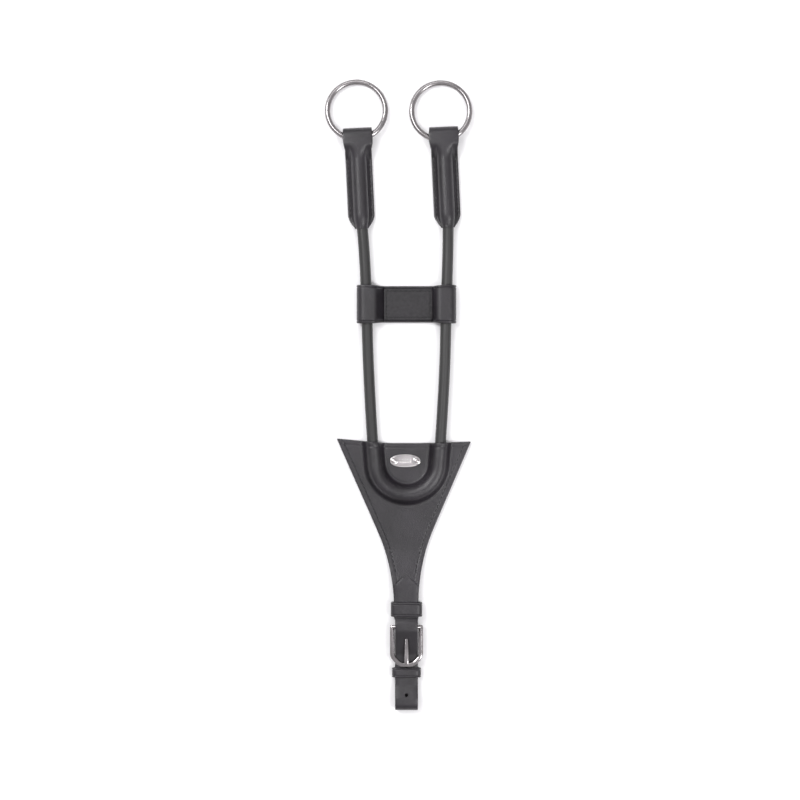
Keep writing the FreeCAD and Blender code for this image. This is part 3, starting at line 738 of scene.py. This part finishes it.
def ring_tab(hand, fold):
    """Leather folded over the ring and sewn round the end of the cord."""
    name = hand.capitalize() + "Tab"
    steps = [-66.8 + 0.7 * k for k in range(15)] + [-56.0 + 2.0 * k for k in range(19)]
    steps += [-18.0 + 0.9 * k for k in range(20)]
    steps += [FOLD_R * math.sin(math.radians(d)) for d in range(8, 89, 8)]
    rings = [tab_ring(v, fold) for v in steps]
    leather = bridle_leather()
    piece = loft(name, rings, leather)
    turn = Matrix.Rotation(LEAN, 2)
    eye = round_path([(-6.4, PLY, 0.6), (4.5, PLY, 4.49), (4.5, 2 * FOLD_R - PLY, 4.49),
                      (-6.4, 2 * FOLD_R - PLY, 0.6)], closed=True, step=1.0)
    tunnel = []
    for across in (-20, 20):
        ring = []
        for point in eye:
            place = turn @ Vector((across, point.x))
            ring.append((fold[0] + place.x, fold[1] + place.y, point.y))
        tunnel.append(ring)
    piece = cut_away(piece, [loft(name + "_eye", tunnel, leather)])
    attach(piece, "fork")
    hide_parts(hand + "_tab")
    rows = []
    for side in (-1, 1):
        row = []
        for k in range(44):
            v = -56.5 + k * 0.95
            place = turn @ Vector((side * (tab_half(v) - 1.9), v))
            row.append((fold[0] + place.x, fold[1] + place.y, 2 * PLY - 0.12))
        rows.append(row)
    thread = stitch_row(hand.capitalize() + "TabStitches", rows)
    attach(thread, "fork")
    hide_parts(hand + "_tab_thread")


class FORK_OT_tabs(bpy.types.Operator):
    """Two ring tabs with their stitches"""
    bl_idname = "fork.tabs"
    bl_label = "Ring tabs"

    def execute(self, context):
        for hand, fold in TABS:
            ring_tab(hand, fold)
        return {"FINISHED"}


# ---------------------------------------------------------------- slider

class FORK_OT_slider(bpy.types.Operator):
    """Sliding loop that holds the two cords together, with its sewn patch"""
    bl_idname = "fork.slider"
    bl_label = "Slider"

    def execute(self, context):
        centre = SLIDER_TOP - SLIDER_LENGTH / 2
        path = round_path([
            (0.0, 0.75, 0), (35.35, 0.75, 4.4), (35.35, 10.85, 5.0), (22.2, 10.85, 4.4),
            (19.0, 2.25, 2.0), (-16.7, 2.25, 2.2), (-23.1, 10.85, 4.4), (-35.35, 10.85, 5.0),
            (-35.35, 0.75, 4.4)], closed=True, step=1.2, turn_step=8.0)
        section = strap_section(SLIDER_LENGTH, BAND, creases=(1.7,), rounding=0.55, depth=0.32)
        flip = [(u, -w) for u, w in section]

        def across_cords(point, along):
            return (point.x, centre + along, point.y)

        def narrower(point):
            return 1.0 - 0.045 * (1 - smoothstep(17.0, 28.0, abs(point.x - 1.0)))
        band = sweep_strap("SliderBand", path, flip, across_cords, bridle_leather(),
                           closed=True, widths=narrower)
        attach(band, "slider")
        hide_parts("slider_band")

        rings = []
        for inset, z in ((0.35, 3.0), (0.0, 3.25), (0.0, 4.1), (0.12, 4.35), (0.4, 4.5),
                         (0.9, 4.54), (1.5, 4.5), (1.9, 4.36), (2.3, 4.5), (3.2, 4.56),
                         (6.0, 4.6), (9.0, 4.6)):
            w, d = 17.8 - inset, 11.5 - inset
            r = max(0.4, 1.8 - inset)
            loop = round_path([(1.3 - w, centre - d, r), (1.3 + w, centre - d, r),
                               (1.3 + w, centre + d, r), (1.3 - w, centre + d, r)],
                              closed=True, step=100.0, turn_step=15.0)
            rings.append([(p.x, p.y, z) for p in loop])
        patch = loft("SliderPatch", rings, patch_leather())
        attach(patch, "slider")
        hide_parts("slider_patch")

        w, d = 17.8 - 1.9, 11.5 - 1.9
        lines = [[(1.3 + s * w, centre + d * (1 - k / 20), 4.42) for k in range(41)]
                 for s in (-1, 1)]
        lines += [[(1.3 + w * (1 - k / 20), centre + s * d, 4.42) for k in range(1, 40)]
                  for s in (-1, 1)]
        thread = stitch_row("SliderStitches", lines, slant=0.1, pitch=2.6 * MM)
        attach(thread, "slider")
        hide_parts("slider_thread")
        return {"FINISHED"}


# ---------------------------------------------------------------- plate

LEFT_SIDE = [(p.y, p.x) for p in reversed(round_path(
    [(-50.7, 17.3, 0), (-9.0, -77.0, 140.0), (-9.0, -140.0, 0)], step=2.0, turn_step=2.0))]
RIGHT_SIDE = [(p.y, p.x) for p in reversed(round_path(
    [(46.8, 15.1, 0), (8.7, -73.5, 140.0), (8.7, -140.0, 0)], step=2.0, turn_step=2.0))]
TOP_EDGE = [(p.x, p.y) for p in round_path(
    [(-50.7, 17.3, 0), (-13.4, 14.0, 60.0), (10.5, 14.0, 60.0), (46.8, 15.1, 0)],
    step=2.0, turn_step=2.0)]
SPLAY = math.radians(5.0)
BEND_R = 23.2
CHAPE = 8.3


def off_the_bend(x, y):
    """Distance from the cord's line inside the plate."""
    dx = x - 0.2
    start = Vector((-math.cos(SPLAY) * BEND_R, -math.sin(SPLAY) * BEND_R))
    along = Vector((-math.sin(SPLAY), math.cos(SPLAY)))
    point = Vector((-abs(dx), y))
    run = (point - start).dot(along)
    if run > 0:
        return abs((point - start).cross(along))
    return abs(math.hypot(dx, y) - BEND_R)


def moulding(d):
    """Height of the leather moulded over the cord, d from the cord's line."""
    if d < 4.4:
        return 2.2 + math.sqrt(5.8 ** 2 - d * d)
    if d < 8.0:
        h = 2.2 + math.sqrt(5.8 ** 2 - 4.4 ** 2)
        return hermite(d, 4.4, h, -4.4 / math.sqrt(5.8 ** 2 - 4.4 ** 2), 8.0)
    return -0.28 * math.exp(-((d - 8.6) / 0.5) ** 2)


def hollow(d):
    """Height of the room left under the moulding."""
    if d < 3.5:
        return 4.0 + math.sqrt(4.45 ** 2 - d * d)
    if d < 6.2:
        h = 4.0 + math.sqrt(4.45 ** 2 - 3.5 ** 2)
        return hermite(d, 3.5, h, -3.5 / math.sqrt(4.45 ** 2 - 3.5 ** 2), 6.2)
    return 0.0


def plate_sides(y):
    left = interpolate(LEFT_SIDE, y)
    right = interpolate(RIGHT_SIDE, y)
    fit = smoothstep(-112.5, -114.0, y)
    return mix(left, -CHAPE, fit), mix(right, CHAPE, fit)


def plate_ply(name, route, material, moulded, columns, seam=True):
    """One ply of the plate: follows its route down and is as wide as the plate there."""
    path = round_path(route, step=0.62 if moulded else 1.6, turn_step=10.0)
    top = path[0].x
    path = [p for i, p in enumerate(path)
            if p.x > -36 or i % (2 if moulded else 1) == 0 or p.x < -110]
    normals = path_normals(path)
    edge = [0.0, 0.12, 0.35, 0.75, 1.4, 2.3, 2.9, 3.3, 3.8, 4.3, 4.8]
    rows = []
    for i, (point, normal) in enumerate(zip(path, normals)):
        from_top = top - point.x
        face, flesh = [], []
        for j in range(columns):
            y = point.x
            x = 0.0
            for _ in range(2):
                left, right = plate_sides(y if moulded or y > -112 else -111)
                if j < len(edge):
                    x, e = left + edge[j], edge[j]
                elif j >= columns - len(edge):
                    e = edge[columns - 1 - j]
                    x = right - e
                else:
                    k = (j - len(edge) + 1) / (columns - 2 * len(edge) + 1)
                    x = mix(left + edge[-1], right - edge[-1], k)
                    e = min(x - left, right - x)
                reach = (interpolate(TOP_EDGE, x) - 14.0) * max(0.0, 1 - from_top / 26.0)
                y = point.x + reach
            rim = min(e, from_top)
            drop = 0.55 - math.sqrt(max(0.0, 0.55 ** 2 - max(0.0, 0.55 - rim) ** 2))
            up, down = PLY / 2 - drop, -PLY / 2 + drop * 0.6
            if seam and point.x > -112:
                up -= 0.24 * math.exp(-((e - 3.8) / 0.42) ** 2)
                up -= 0.30 * math.exp(-((from_top - 3.3) / 0.38) ** 2)
            if moulded and point.x > -40:
                d = off_the_bend(x, y)
                up += moulding(d)
                down += hollow(d)
            shift = Vector((y - point.x, 0))
            high = point + shift - normal * up
            low = point + shift - normal * down
            face.append((x, high.x, high.y))
            flesh.append((x, low.x, low.y))
        rows.append(face + list(reversed(flesh)))
    size = 2 * columns
    faces = loft_faces(len(rows), size)[:-2]
    for start, order in ((0, 1), ((len(rows) - 1) * size, -1)):
        for j in range(columns - 1):
            cap = (start + j, start + size - 1 - j, start + size - 2 - j, start + j + 1)
            faces.append(cap[::order])
    return piece_from(name, [v for row in rows for v in row], faces, material, sharp=50.0)


def front_route():
    middle = PLY * 1.5
    turn = 1.6 + PLY / 2
    neck = middle + RISE + 0.1
    bar_y, bar_z = BAR
    return [
        (14.0, middle, 0), (13.9, middle, 0), (13.65, middle, 0), (13.2, middle, 0),
        (-63.3, middle, 28), (-89, neck, 32), (-112.9, neck, 3), (-116.9, bar_z + turn, 3),
        (bar_y - turn, bar_z + turn, turn - 0.01), (bar_y - turn, bar_z - turn, turn - 0.01),
        (-117.3, bar_z - turn, 3), (-113.5, PLY / 2 + RISE, 3), (-109.0, PLY / 2 + RISE, 0),
    ]


class FORK_OT_plate(bpy.types.Operator):
    """Stitched plate: moulded front ply, turned round the buckle's bar, and its lining"""
    bl_idname = "fork.plate"
    bl_label = "Plate"

    def execute(self, context):
        front = plate_front_piece()
        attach(front, "fork")
        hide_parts("plate_front")
        middle = PLY / 2
        back = plate_ply("PlateLining", [
            (14.0, middle, 0), (13.8, middle, 0), (13.4, middle, 0), (-64, middle, 30),
            (-89, middle + RISE, 30), (-108.0, middle + RISE, 0)],
            lining_leather(), moulded=False, columns=40, seam=False)
        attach(back, "fork")
        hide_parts("plate_back")
        lines = []
        for side, sign in ((LEFT_SIDE, 1), (RIGHT_SIDE, -1)):
            row = []
            y = 11.0 if sign > 0 else 9.6
            while y > -79.5:
                x = interpolate(side, y)
                slope = (interpolate(side, y + 0.5) - interpolate(side, y - 0.5))
                inward = Vector((sign, -sign * slope)).normalized() * 3.8
                lift = RISE * smoothstep(-62.0, -91.0, y)
                row.append((x + inward.x, y + inward.y, 2 * PLY - 0.12 + lift))
                y -= 1.0
            lines.append(row)
        thread = stitch_row("PlateStitches", lines)
        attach(thread, "fork")
        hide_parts("plate_thread")
        return {"FINISHED"}


def plate_front_piece():
    """Moulded front ply with the slot for the tongue cut in its turn."""
    front = plate_ply("PlateFront", front_route(), bridle_leather(), moulded=True, columns=150)
    slot = []
    for z in (2.0, 14.0):
        loop = round_path([(-2.4, BAR[0] - 6, 0.8), (2.4, BAR[0] - 6, 0.8),
                           (2.4, BAR[0] + 6.5, 1.6), (-2.4, BAR[0] + 6.5, 1.6)], closed=True,
                          step=100.0, turn_step=18.0)
        slot.append([(p.x, p.y, z) for p in loop])
    return cut_away(front, [loft("tongue_slot", slot, bridle_leather())], sharp=50.0,
                    folded=False)


# ---------------------------------------------------------------- badge

BADGE = (-0.9, 1.1, 2 * PLY)


class FORK_OT_badge(bpy.types.Operator):
    """Plain oval badge with a raised rim and two rivets"""
    bl_idname = "fork.badge"
    bl_label = "Badge"

    def execute(self, context):
        x0, y0, z0 = BADGE
        count = 96
        profile = [(0.0, 0.0), (0.0, 0.75), (0.10, 1.0), (0.35, 1.17), (0.65, 1.2),
                   (0.92, 1.1), (1.12, 0.86), (1.5, 0.84), (2.2, 0.9), (3.2, 0.98)]
        rings = []
        for inset, z in profile:
            ring = []
            for i in range(count):
                a = 2 * math.pi * i / count
                c, s = math.cos(a), math.sin(a)
                ring.append((x0 + (11.0 - inset) * math.copysign(abs(c) ** 0.86, c),
                             y0 + (4.75 - inset) * math.copysign(abs(s) ** 0.86, s), z0 + z))
            rings.append(ring)
        plate = loft("BadgePlate", rings, badge_metal(), sharp=35.0)
        ribs = []
        for k in range(-2, 3):
            reach = 1.75 - 0.22 * abs(k)
            rib = []
            for inset, z in ((0.0, 0.8), (0.12, 1.12), (0.3, 1.2)):
                rib.append([(x0 + k * 1.9 + (0.62 - inset) * math.cos(a),
                             y0 + (reach - inset) * math.sin(a), z0 + z)
                            for a in (2 * math.pi * i / 20 for i in range(20))])
            ribs.append(loft("badge_rib", rib, badge_metal(), sharp=35.0))
        for side in (-8.2, 8.2):
            boss = [[(x0 + side + r * math.cos(a), y0 + r * math.sin(a), z0 + z)
                     for a in (2 * math.pi * i / 40 for i in range(40))]
                    for r, z in ((3.05, 0.75), (3.0, 1.02), (2.75, 1.3), (2.35, 1.42),
                                 (1.95, 1.3), (1.7, 1.05), (1.6, 0.8))]
            ribs.append(loft("badge_boss", boss, badge_metal(), sharp=50.0))
        plate = merged("BadgePlate", [plate] + ribs)
        soften(plate, 35.0)
        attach(plate, "fork")
        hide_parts("badge_plate")

        heads = []
        for side in (-8.2, 8.2):
            dome = [[(x0 + side + r * math.cos(a), y0 + r * math.sin(a), z0 + z)
                     for a in (2 * math.pi * i / 32 for i in range(32))]
                    for r, z in ((0.75, 0.0), (0.75, 0.8), (1.5, 0.82), (1.52, 0.95),
                                 (1.4, 1.15), (1.15, 1.32), (0.75, 1.44), (0.3, 1.49))]
            heads.append(loft("rivet", dome, badge_metal(), sharp=50.0))
        rivets = merged("BadgeRivets", heads)
        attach(rivets, "fork")
        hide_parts("badge_rivets")
        return {"FINISHED"}


# ---------------------------------------------------------------- billet, buckle and keepers

def billet_route():
    """The strap's middle, as (along, up): down behind the neck, round and back up."""
    half = STRAP / 2
    under = RISE - half - 0.05
    loop_r = 3.0 + half
    loop_top = 2 * (half + 3.0) + half
    bottom = -179.6 + half
    over_bar = BAR[1] + 1.6 + PLY + 0.25 + half
    over_neck = RISE + 2 * PLY + 0.3 + half
    in_keeper = BAND + 0.3 + STRAP + 0.3 + half
    return [
        (-77.6, 1.02, 0), (-89.0, under, 28), (-113.0, under, 3), (-116.5, 1.6, 3),
        (-121.5, half, 6), (-143.5, half, 4), (-147.3, BAND + 0.3 + half, 4),
        (-161.0, BAND + 0.3 + half, 4), (-165.5, half, 4), (bottom, half, loop_r - 0.01),
        (bottom, loop_top, loop_r - 0.01), (-170.5, loop_top, 5), (-162.0, in_keeper, 5),
        (-139.0, in_keeper, 8), (-121.5, over_bar, 6), (-116.1, over_bar, 3),
        (-112.6, over_neck, 3), (-88.0, over_neck, 30), (-81.9, over_neck - 0.9, 0),
    ]


class FORK_OT_billet(bpy.types.Operator):
    """Billet strap with its point, creased edges, holes and bottom loop"""
    bl_idname = "fork.billet"
    bl_label = "Billet strap"

    def execute(self, context):
        path = round_path(billet_route(), step=1.2, turn_step=9.0)
        section = strap_section(BILLET_WIDTH, STRAP, creases=(1.9,), rounding=0.7)
        flip = [(u, -w) for u, w in section]
        upper = 7.0
        last = path[-1]

        def pointed(point):
            if point.y < upper or point.x < -90:
                return 1.0
            t = min(1.0, (last.x - point.x) / 8.4)
            return max(0.06, 1 - (1 - t) ** 1.75)
        fine = []
        for i, point in enumerate(path[:-1]):
            fine.append(point)
            if point.y > upper and point.x > -90:
                fine += [point.lerp(path[i + 1], k / 3) for k in (1, 2)]
        fine.append(last)
        strap = sweep_strap("BilletStrap", fine, flip, up_the_strap, bridle_leather(),
                            widths=pointed)
        tools = [cylinder("hole", 0, y, 4.0, 20.0, HOLE_R) for y in BILLET_HOLES]
        slot = []
        for z in (STRAP + 2.0, 20.0):
            loop = round_path([(-1.9, -137.4, 1.85), (1.9, -137.4, 1.85),
                               (1.9, -127.4, 1.85), (-1.9, -127.4, 1.85)], closed=True,
                              step=100.0, turn_step=15.0)
            slot.append([(p.x, p.y, z) for p in loop])
        tools.append(loft("slot", slot, bridle_leather()))
        cut_away(strap, tools)
        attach(strap, "fork")
        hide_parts("billet_strap")
        return {"FINISHED"}


class FORK_OT_buckle(bpy.types.Operator):
    """Buckle frame with its hinge bar, and the tongue"""
    bl_idname = "fork.buckle"
    bl_label = "Buckle"

    def execute(self, context):
        bar_y, bar_z = BAR
        lift = math.atan2(2.0, 29.0)
        w, low, slope, bend = 10.35, -27.3, 5.9, 6.6
        path = round_path([(-w, 1.5, 0), (-w, low + slope, bend), (-w + slope, low, bend),
                           (w - slope, low, bend), (w, low + slope, bend), (w, 1.5, 0)],
                          step=1.0, turn_step=5.0)
        normals = path_normals(path)
        rings = []
        sides = 28
        for i, (point, normal) in enumerate(zip(path, normals)):
            end = min(i, len(path) - 1 - i)
            shrink = (0.72, 0.93, 1.0)[min(end, 2)]
            ring = []
            for k in range(sides):
                a = 2 * math.pi * k / sides
                c, s = math.cos(a), math.sin(a)
                off = 1.7 * math.copysign(abs(c) ** 0.72, c) * shrink
                up = 1.5 * math.copysign(abs(s) ** 0.72, s) * shrink
                place = point + normal * off
                y = place.y * math.cos(lift) + up * math.sin(lift)
                z = -place.y * math.sin(lift) + up * math.cos(lift)
                ring.append((place.x, bar_y + y, bar_z + z))
            rings.append(ring)
        sides_piece = loft("frame_sides", rings, ring_steel())
        bar = [[(x, bar_y + r * math.cos(a), bar_z + r * math.sin(a))
                for a in (2 * math.pi * k / 32 for k in range(32))]
               for x, r in ((-11.0, 1.2), (-10.6, 1.5), (0.0, 1.5), (10.6, 1.5), (11.0, 1.2))]
        bar_piece = loft("hinge_bar", bar, ring_steel())
        frame_piece = merged("BuckleFrame", [sides_piece, bar_piece])
        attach(frame_piece, "buckle_frame")
        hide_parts("buckle_frame")

        rest = bar_z + 2.0 + 1.5 + 0.3
        tip = bar_y - 29.0 + 1.2
        turn = []
        for degrees in range(-150, 91, 12):
            a = math.radians(degrees)
            turn.append(Vector((bar_y + 2.25 * math.cos(a), bar_z + 2.25 * math.sin(a))))
        over = [Vector((bar_y - 3.0, bar_z + 2.22)), Vector((bar_y - 6.0, bar_z + 2.25))]
        shank = []
        for k in range(1, 19):
            t = k / 18
            y = mix(bar_y - 6.0, tip + 0.6, t)
            z = mix(bar_z + 2.25, rest + 0.85, t) + 0.30 * math.sin(math.pi * t)
            shank.append(Vector((y, z)))
        path = turn + over + shank
        ends = len(path)
        normals = path_normals(path)
        rings = []
        for i, (point, normal) in enumerate(zip(path, normals)):
            toward = smoothstep(bar_y - 8.0, tip, point.x)
            w = mix(1.25, 1.75, toward)
            t = mix(0.68, 0.78, toward)
            if i < 2:
                t *= (0.35, 0.8)[i]
                w *= (0.8, 0.95)[i]
            if i > ends - 4:
                w *= (0.97, 0.86, 0.55)[i - ends + 3]
                t *= (0.95, 0.8, 0.45)[i - ends + 3]
            rings.append([(w * math.copysign(abs(math.cos(a)) ** 0.75, math.cos(a)),
                           point.x + normal.x * t * math.copysign(abs(math.sin(a)) ** 0.75,
                                                                  math.sin(a)),
                           point.y + normal.y * t * math.copysign(abs(math.sin(a)) ** 0.75,
                                                                  math.sin(a)))
                          for a in (2 * math.pi * k / 24 for k in range(24))])
        tongue = loft("BuckleTongue", rings, ring_steel())
        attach(tongue, "buckle_tongue")
        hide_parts("buckle_tongue")
        return {"FINISHED"}


def keeper(name, body, top, length, width, high, creases):
    """Leather loop round the strap, its ends butted together underneath."""
    w = width / 2 - BAND / 2
    low, up = BAND / 2, high - BAND / 2
    r = min(3.0, (up - low) * 0.45)
    path = round_path([(0.0, low, 0), (w, low, r), (w, up, r), (-w, up, r), (-w, low, r)],
                      closed=True, step=1.0, turn_step=8.0)
    section = strap_section(length, BAND, creases=creases, rounding=0.6, depth=0.28)
    flip = [(u, -w_) for u, w_ in section]
    middle = top - length / 2

    def round_strap(point, along):
        return (point.x, middle + along, point.y)
    loop = sweep_strap(name, path, flip, round_strap, bridle_leather(), closed=True)
    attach(loop, body)
    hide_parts(body)


class FORK_OT_keepers(bpy.types.Operator):
    """Upper and lower keeper"""
    bl_idname = "fork.keepers"
    bl_label = "Keepers"

    def execute(self, context):
        keeper("UpperKeeper", "upper_keeper", -101.1, 10.4, 22.8, 11.5, (1.5,))
        keeper("LowerKeeper", "lower_keeper", -148.8, 7.0, 21.0, 7.9, (1.3,))
        return {"FINISHED"}


# ---------------------------------------------------------------- stage

def soft_light(name, place, aim, width, height, power, tint=(1, 1, 1)):
    lamp = bpy.data.lights.new(name, "AREA")
    lamp.shape = "RECTANGLE"
    lamp.size = width
    lamp.size_y = height
    lamp.energy = power
    lamp.color = tint
    holder = bpy.data.objects.new(name, lamp)
    holder.location = place
    holder.rotation_euler = (Vector(aim) - Vector(place)).to_track_quat("-Z", "Y").to_euler()
    bpy.context.scene.collection.objects.link(holder)


def studio_sky(scene):
    """Soft sky, brightest overhead."""
    world = bpy.data.worlds.new("Studio")
    scene.world = world
    world.use_nodes = True
    nodes = world.node_tree.nodes
    place = nodes.new("ShaderNodeTexCoord")
    split = nodes.new("ShaderNodeSeparateXYZ")
    sky = nodes.new("ShaderNodeValToRGB")
    sky.color_ramp.elements[0].position = 0.0
    sky.color_ramp.elements[0].color = (0.62, 0.61, 0.60, 1)
    sky.color_ramp.elements[1].position = 1.0
    sky.color_ramp.elements[1].color = (1.0, 0.97, 1.0, 1)
    join = world.node_tree.links.new
    join(place.outputs["Generated"], split.inputs["Vector"])
    join(split.outputs["Z"], sky.inputs["Fac"])
    join(sky.outputs["Color"], nodes["Background"].inputs["Color"])
    nodes["Background"].inputs["Strength"].default_value = 0.78


class FORK_OT_stage(bpy.types.Operator):
    """Pale floor, soft studio light and the camera above the fork"""
    bl_idname = "fork.stage"
    bl_label = "Stage"

    def execute(self, context):
        mesh = bpy.data.meshes.new("Floor")
        s = FLOOR_HALF
        mesh.from_pydata([(-s, -s, -0.0002), (s, -s, -0.0002), (s, s, -0.0002),
                          (-s, s, -0.0002)], [], [(0, 1, 2, 3)])
        floor = bpy.data.objects.new("Floor", mesh)
        context.scene.collection.objects.link(floor)
        paper, nodes, shader = node_material("FloorPaper")
        if nodes is not None:
            shader.inputs["Base Color"].default_value = (*colours().floor, 1)
            shader.inputs["Roughness"].default_value = 0.9
        mesh.materials.append(paper)

        studio_sky(context.scene)
        soft_light("LeftSoftbox", (-0.8, 0.65, 1.3), (0, 0.05, 0), 0.28, 1.2, 16.0)
        soft_light("RightSoftbox", (0.8, -0.45, 1.3), (0, 0.05, 0), 0.25, 1.0, 12.0)
        soft_light("FarSoftbox", (-0.3, 1.3, 1.1), (0, 0.1, 0), 1.1, 0.4, 5.0)
        context.scene.view_settings.view_transform = "Standard"

        lens = bpy.data.cameras.new("Camera")
        lens.sensor_width = SENSOR
        lens.lens = SENSOR * CAMERA_DISTANCE / VIEW_WIDTH
        lens.clip_start = 0.05
        lens.clip_end = 50.0
        camera = bpy.data.objects.new("Camera", lens)
        camera.location = CAMERA_PLACE
        camera.rotation_euler = Euler((0, 0, 0))
        context.scene.collection.objects.link(camera)
        context.scene.camera = camera
        return {"FINISHED"}


# ---------------------------------------------------------------- panel and main

STEPS = (
    FORK_OT_stage, FORK_OT_cord, FORK_OT_rings, FORK_OT_tabs, FORK_OT_slider, FORK_OT_plate,
    FORK_OT_badge, FORK_OT_billet, FORK_OT_buckle, FORK_OT_keepers,
)


class FORK_PT_panel(bpy.types.Panel):
    """Lists the fork's sizes, colours and pieces"""
    bl_idname = "FORK_PT_panel"
    bl_label = "Martingale fork"
    bl_space_type = "VIEW_3D"
    bl_region_type = "UI"
    bl_category = "Fork"

    def draw(self, context):
        for group in (context.scene.fork_sizes, context.scene.fork_colours):
            for name in group.__annotations__:
                self.layout.prop(group, name)
        for step in STEPS:
            self.layout.operator(step.bl_idname)


CLASSES = (ForkSizes, ForkColours) + STEPS + (FORK_PT_panel,)


def register():
    for kind in CLASSES:
        bpy.utils.register_class(kind)
    bpy.types.Scene.fork_sizes = bpy.props.PointerProperty(type=ForkSizes)
    bpy.types.Scene.fork_colours = bpy.props.PointerProperty(type=ForkColours)


def unregister():
    del bpy.types.Scene.fork_colours
    del bpy.types.Scene.fork_sizes
    for kind in reversed(CLASSES):
        bpy.utils.unregister_class(kind)


def main():
    register()
    for step in STEPS:
        group, name = step.bl_idname.split(".")
        getattr(getattr(bpy.ops, group), name)()


if __name__ == "__main__":
    main()
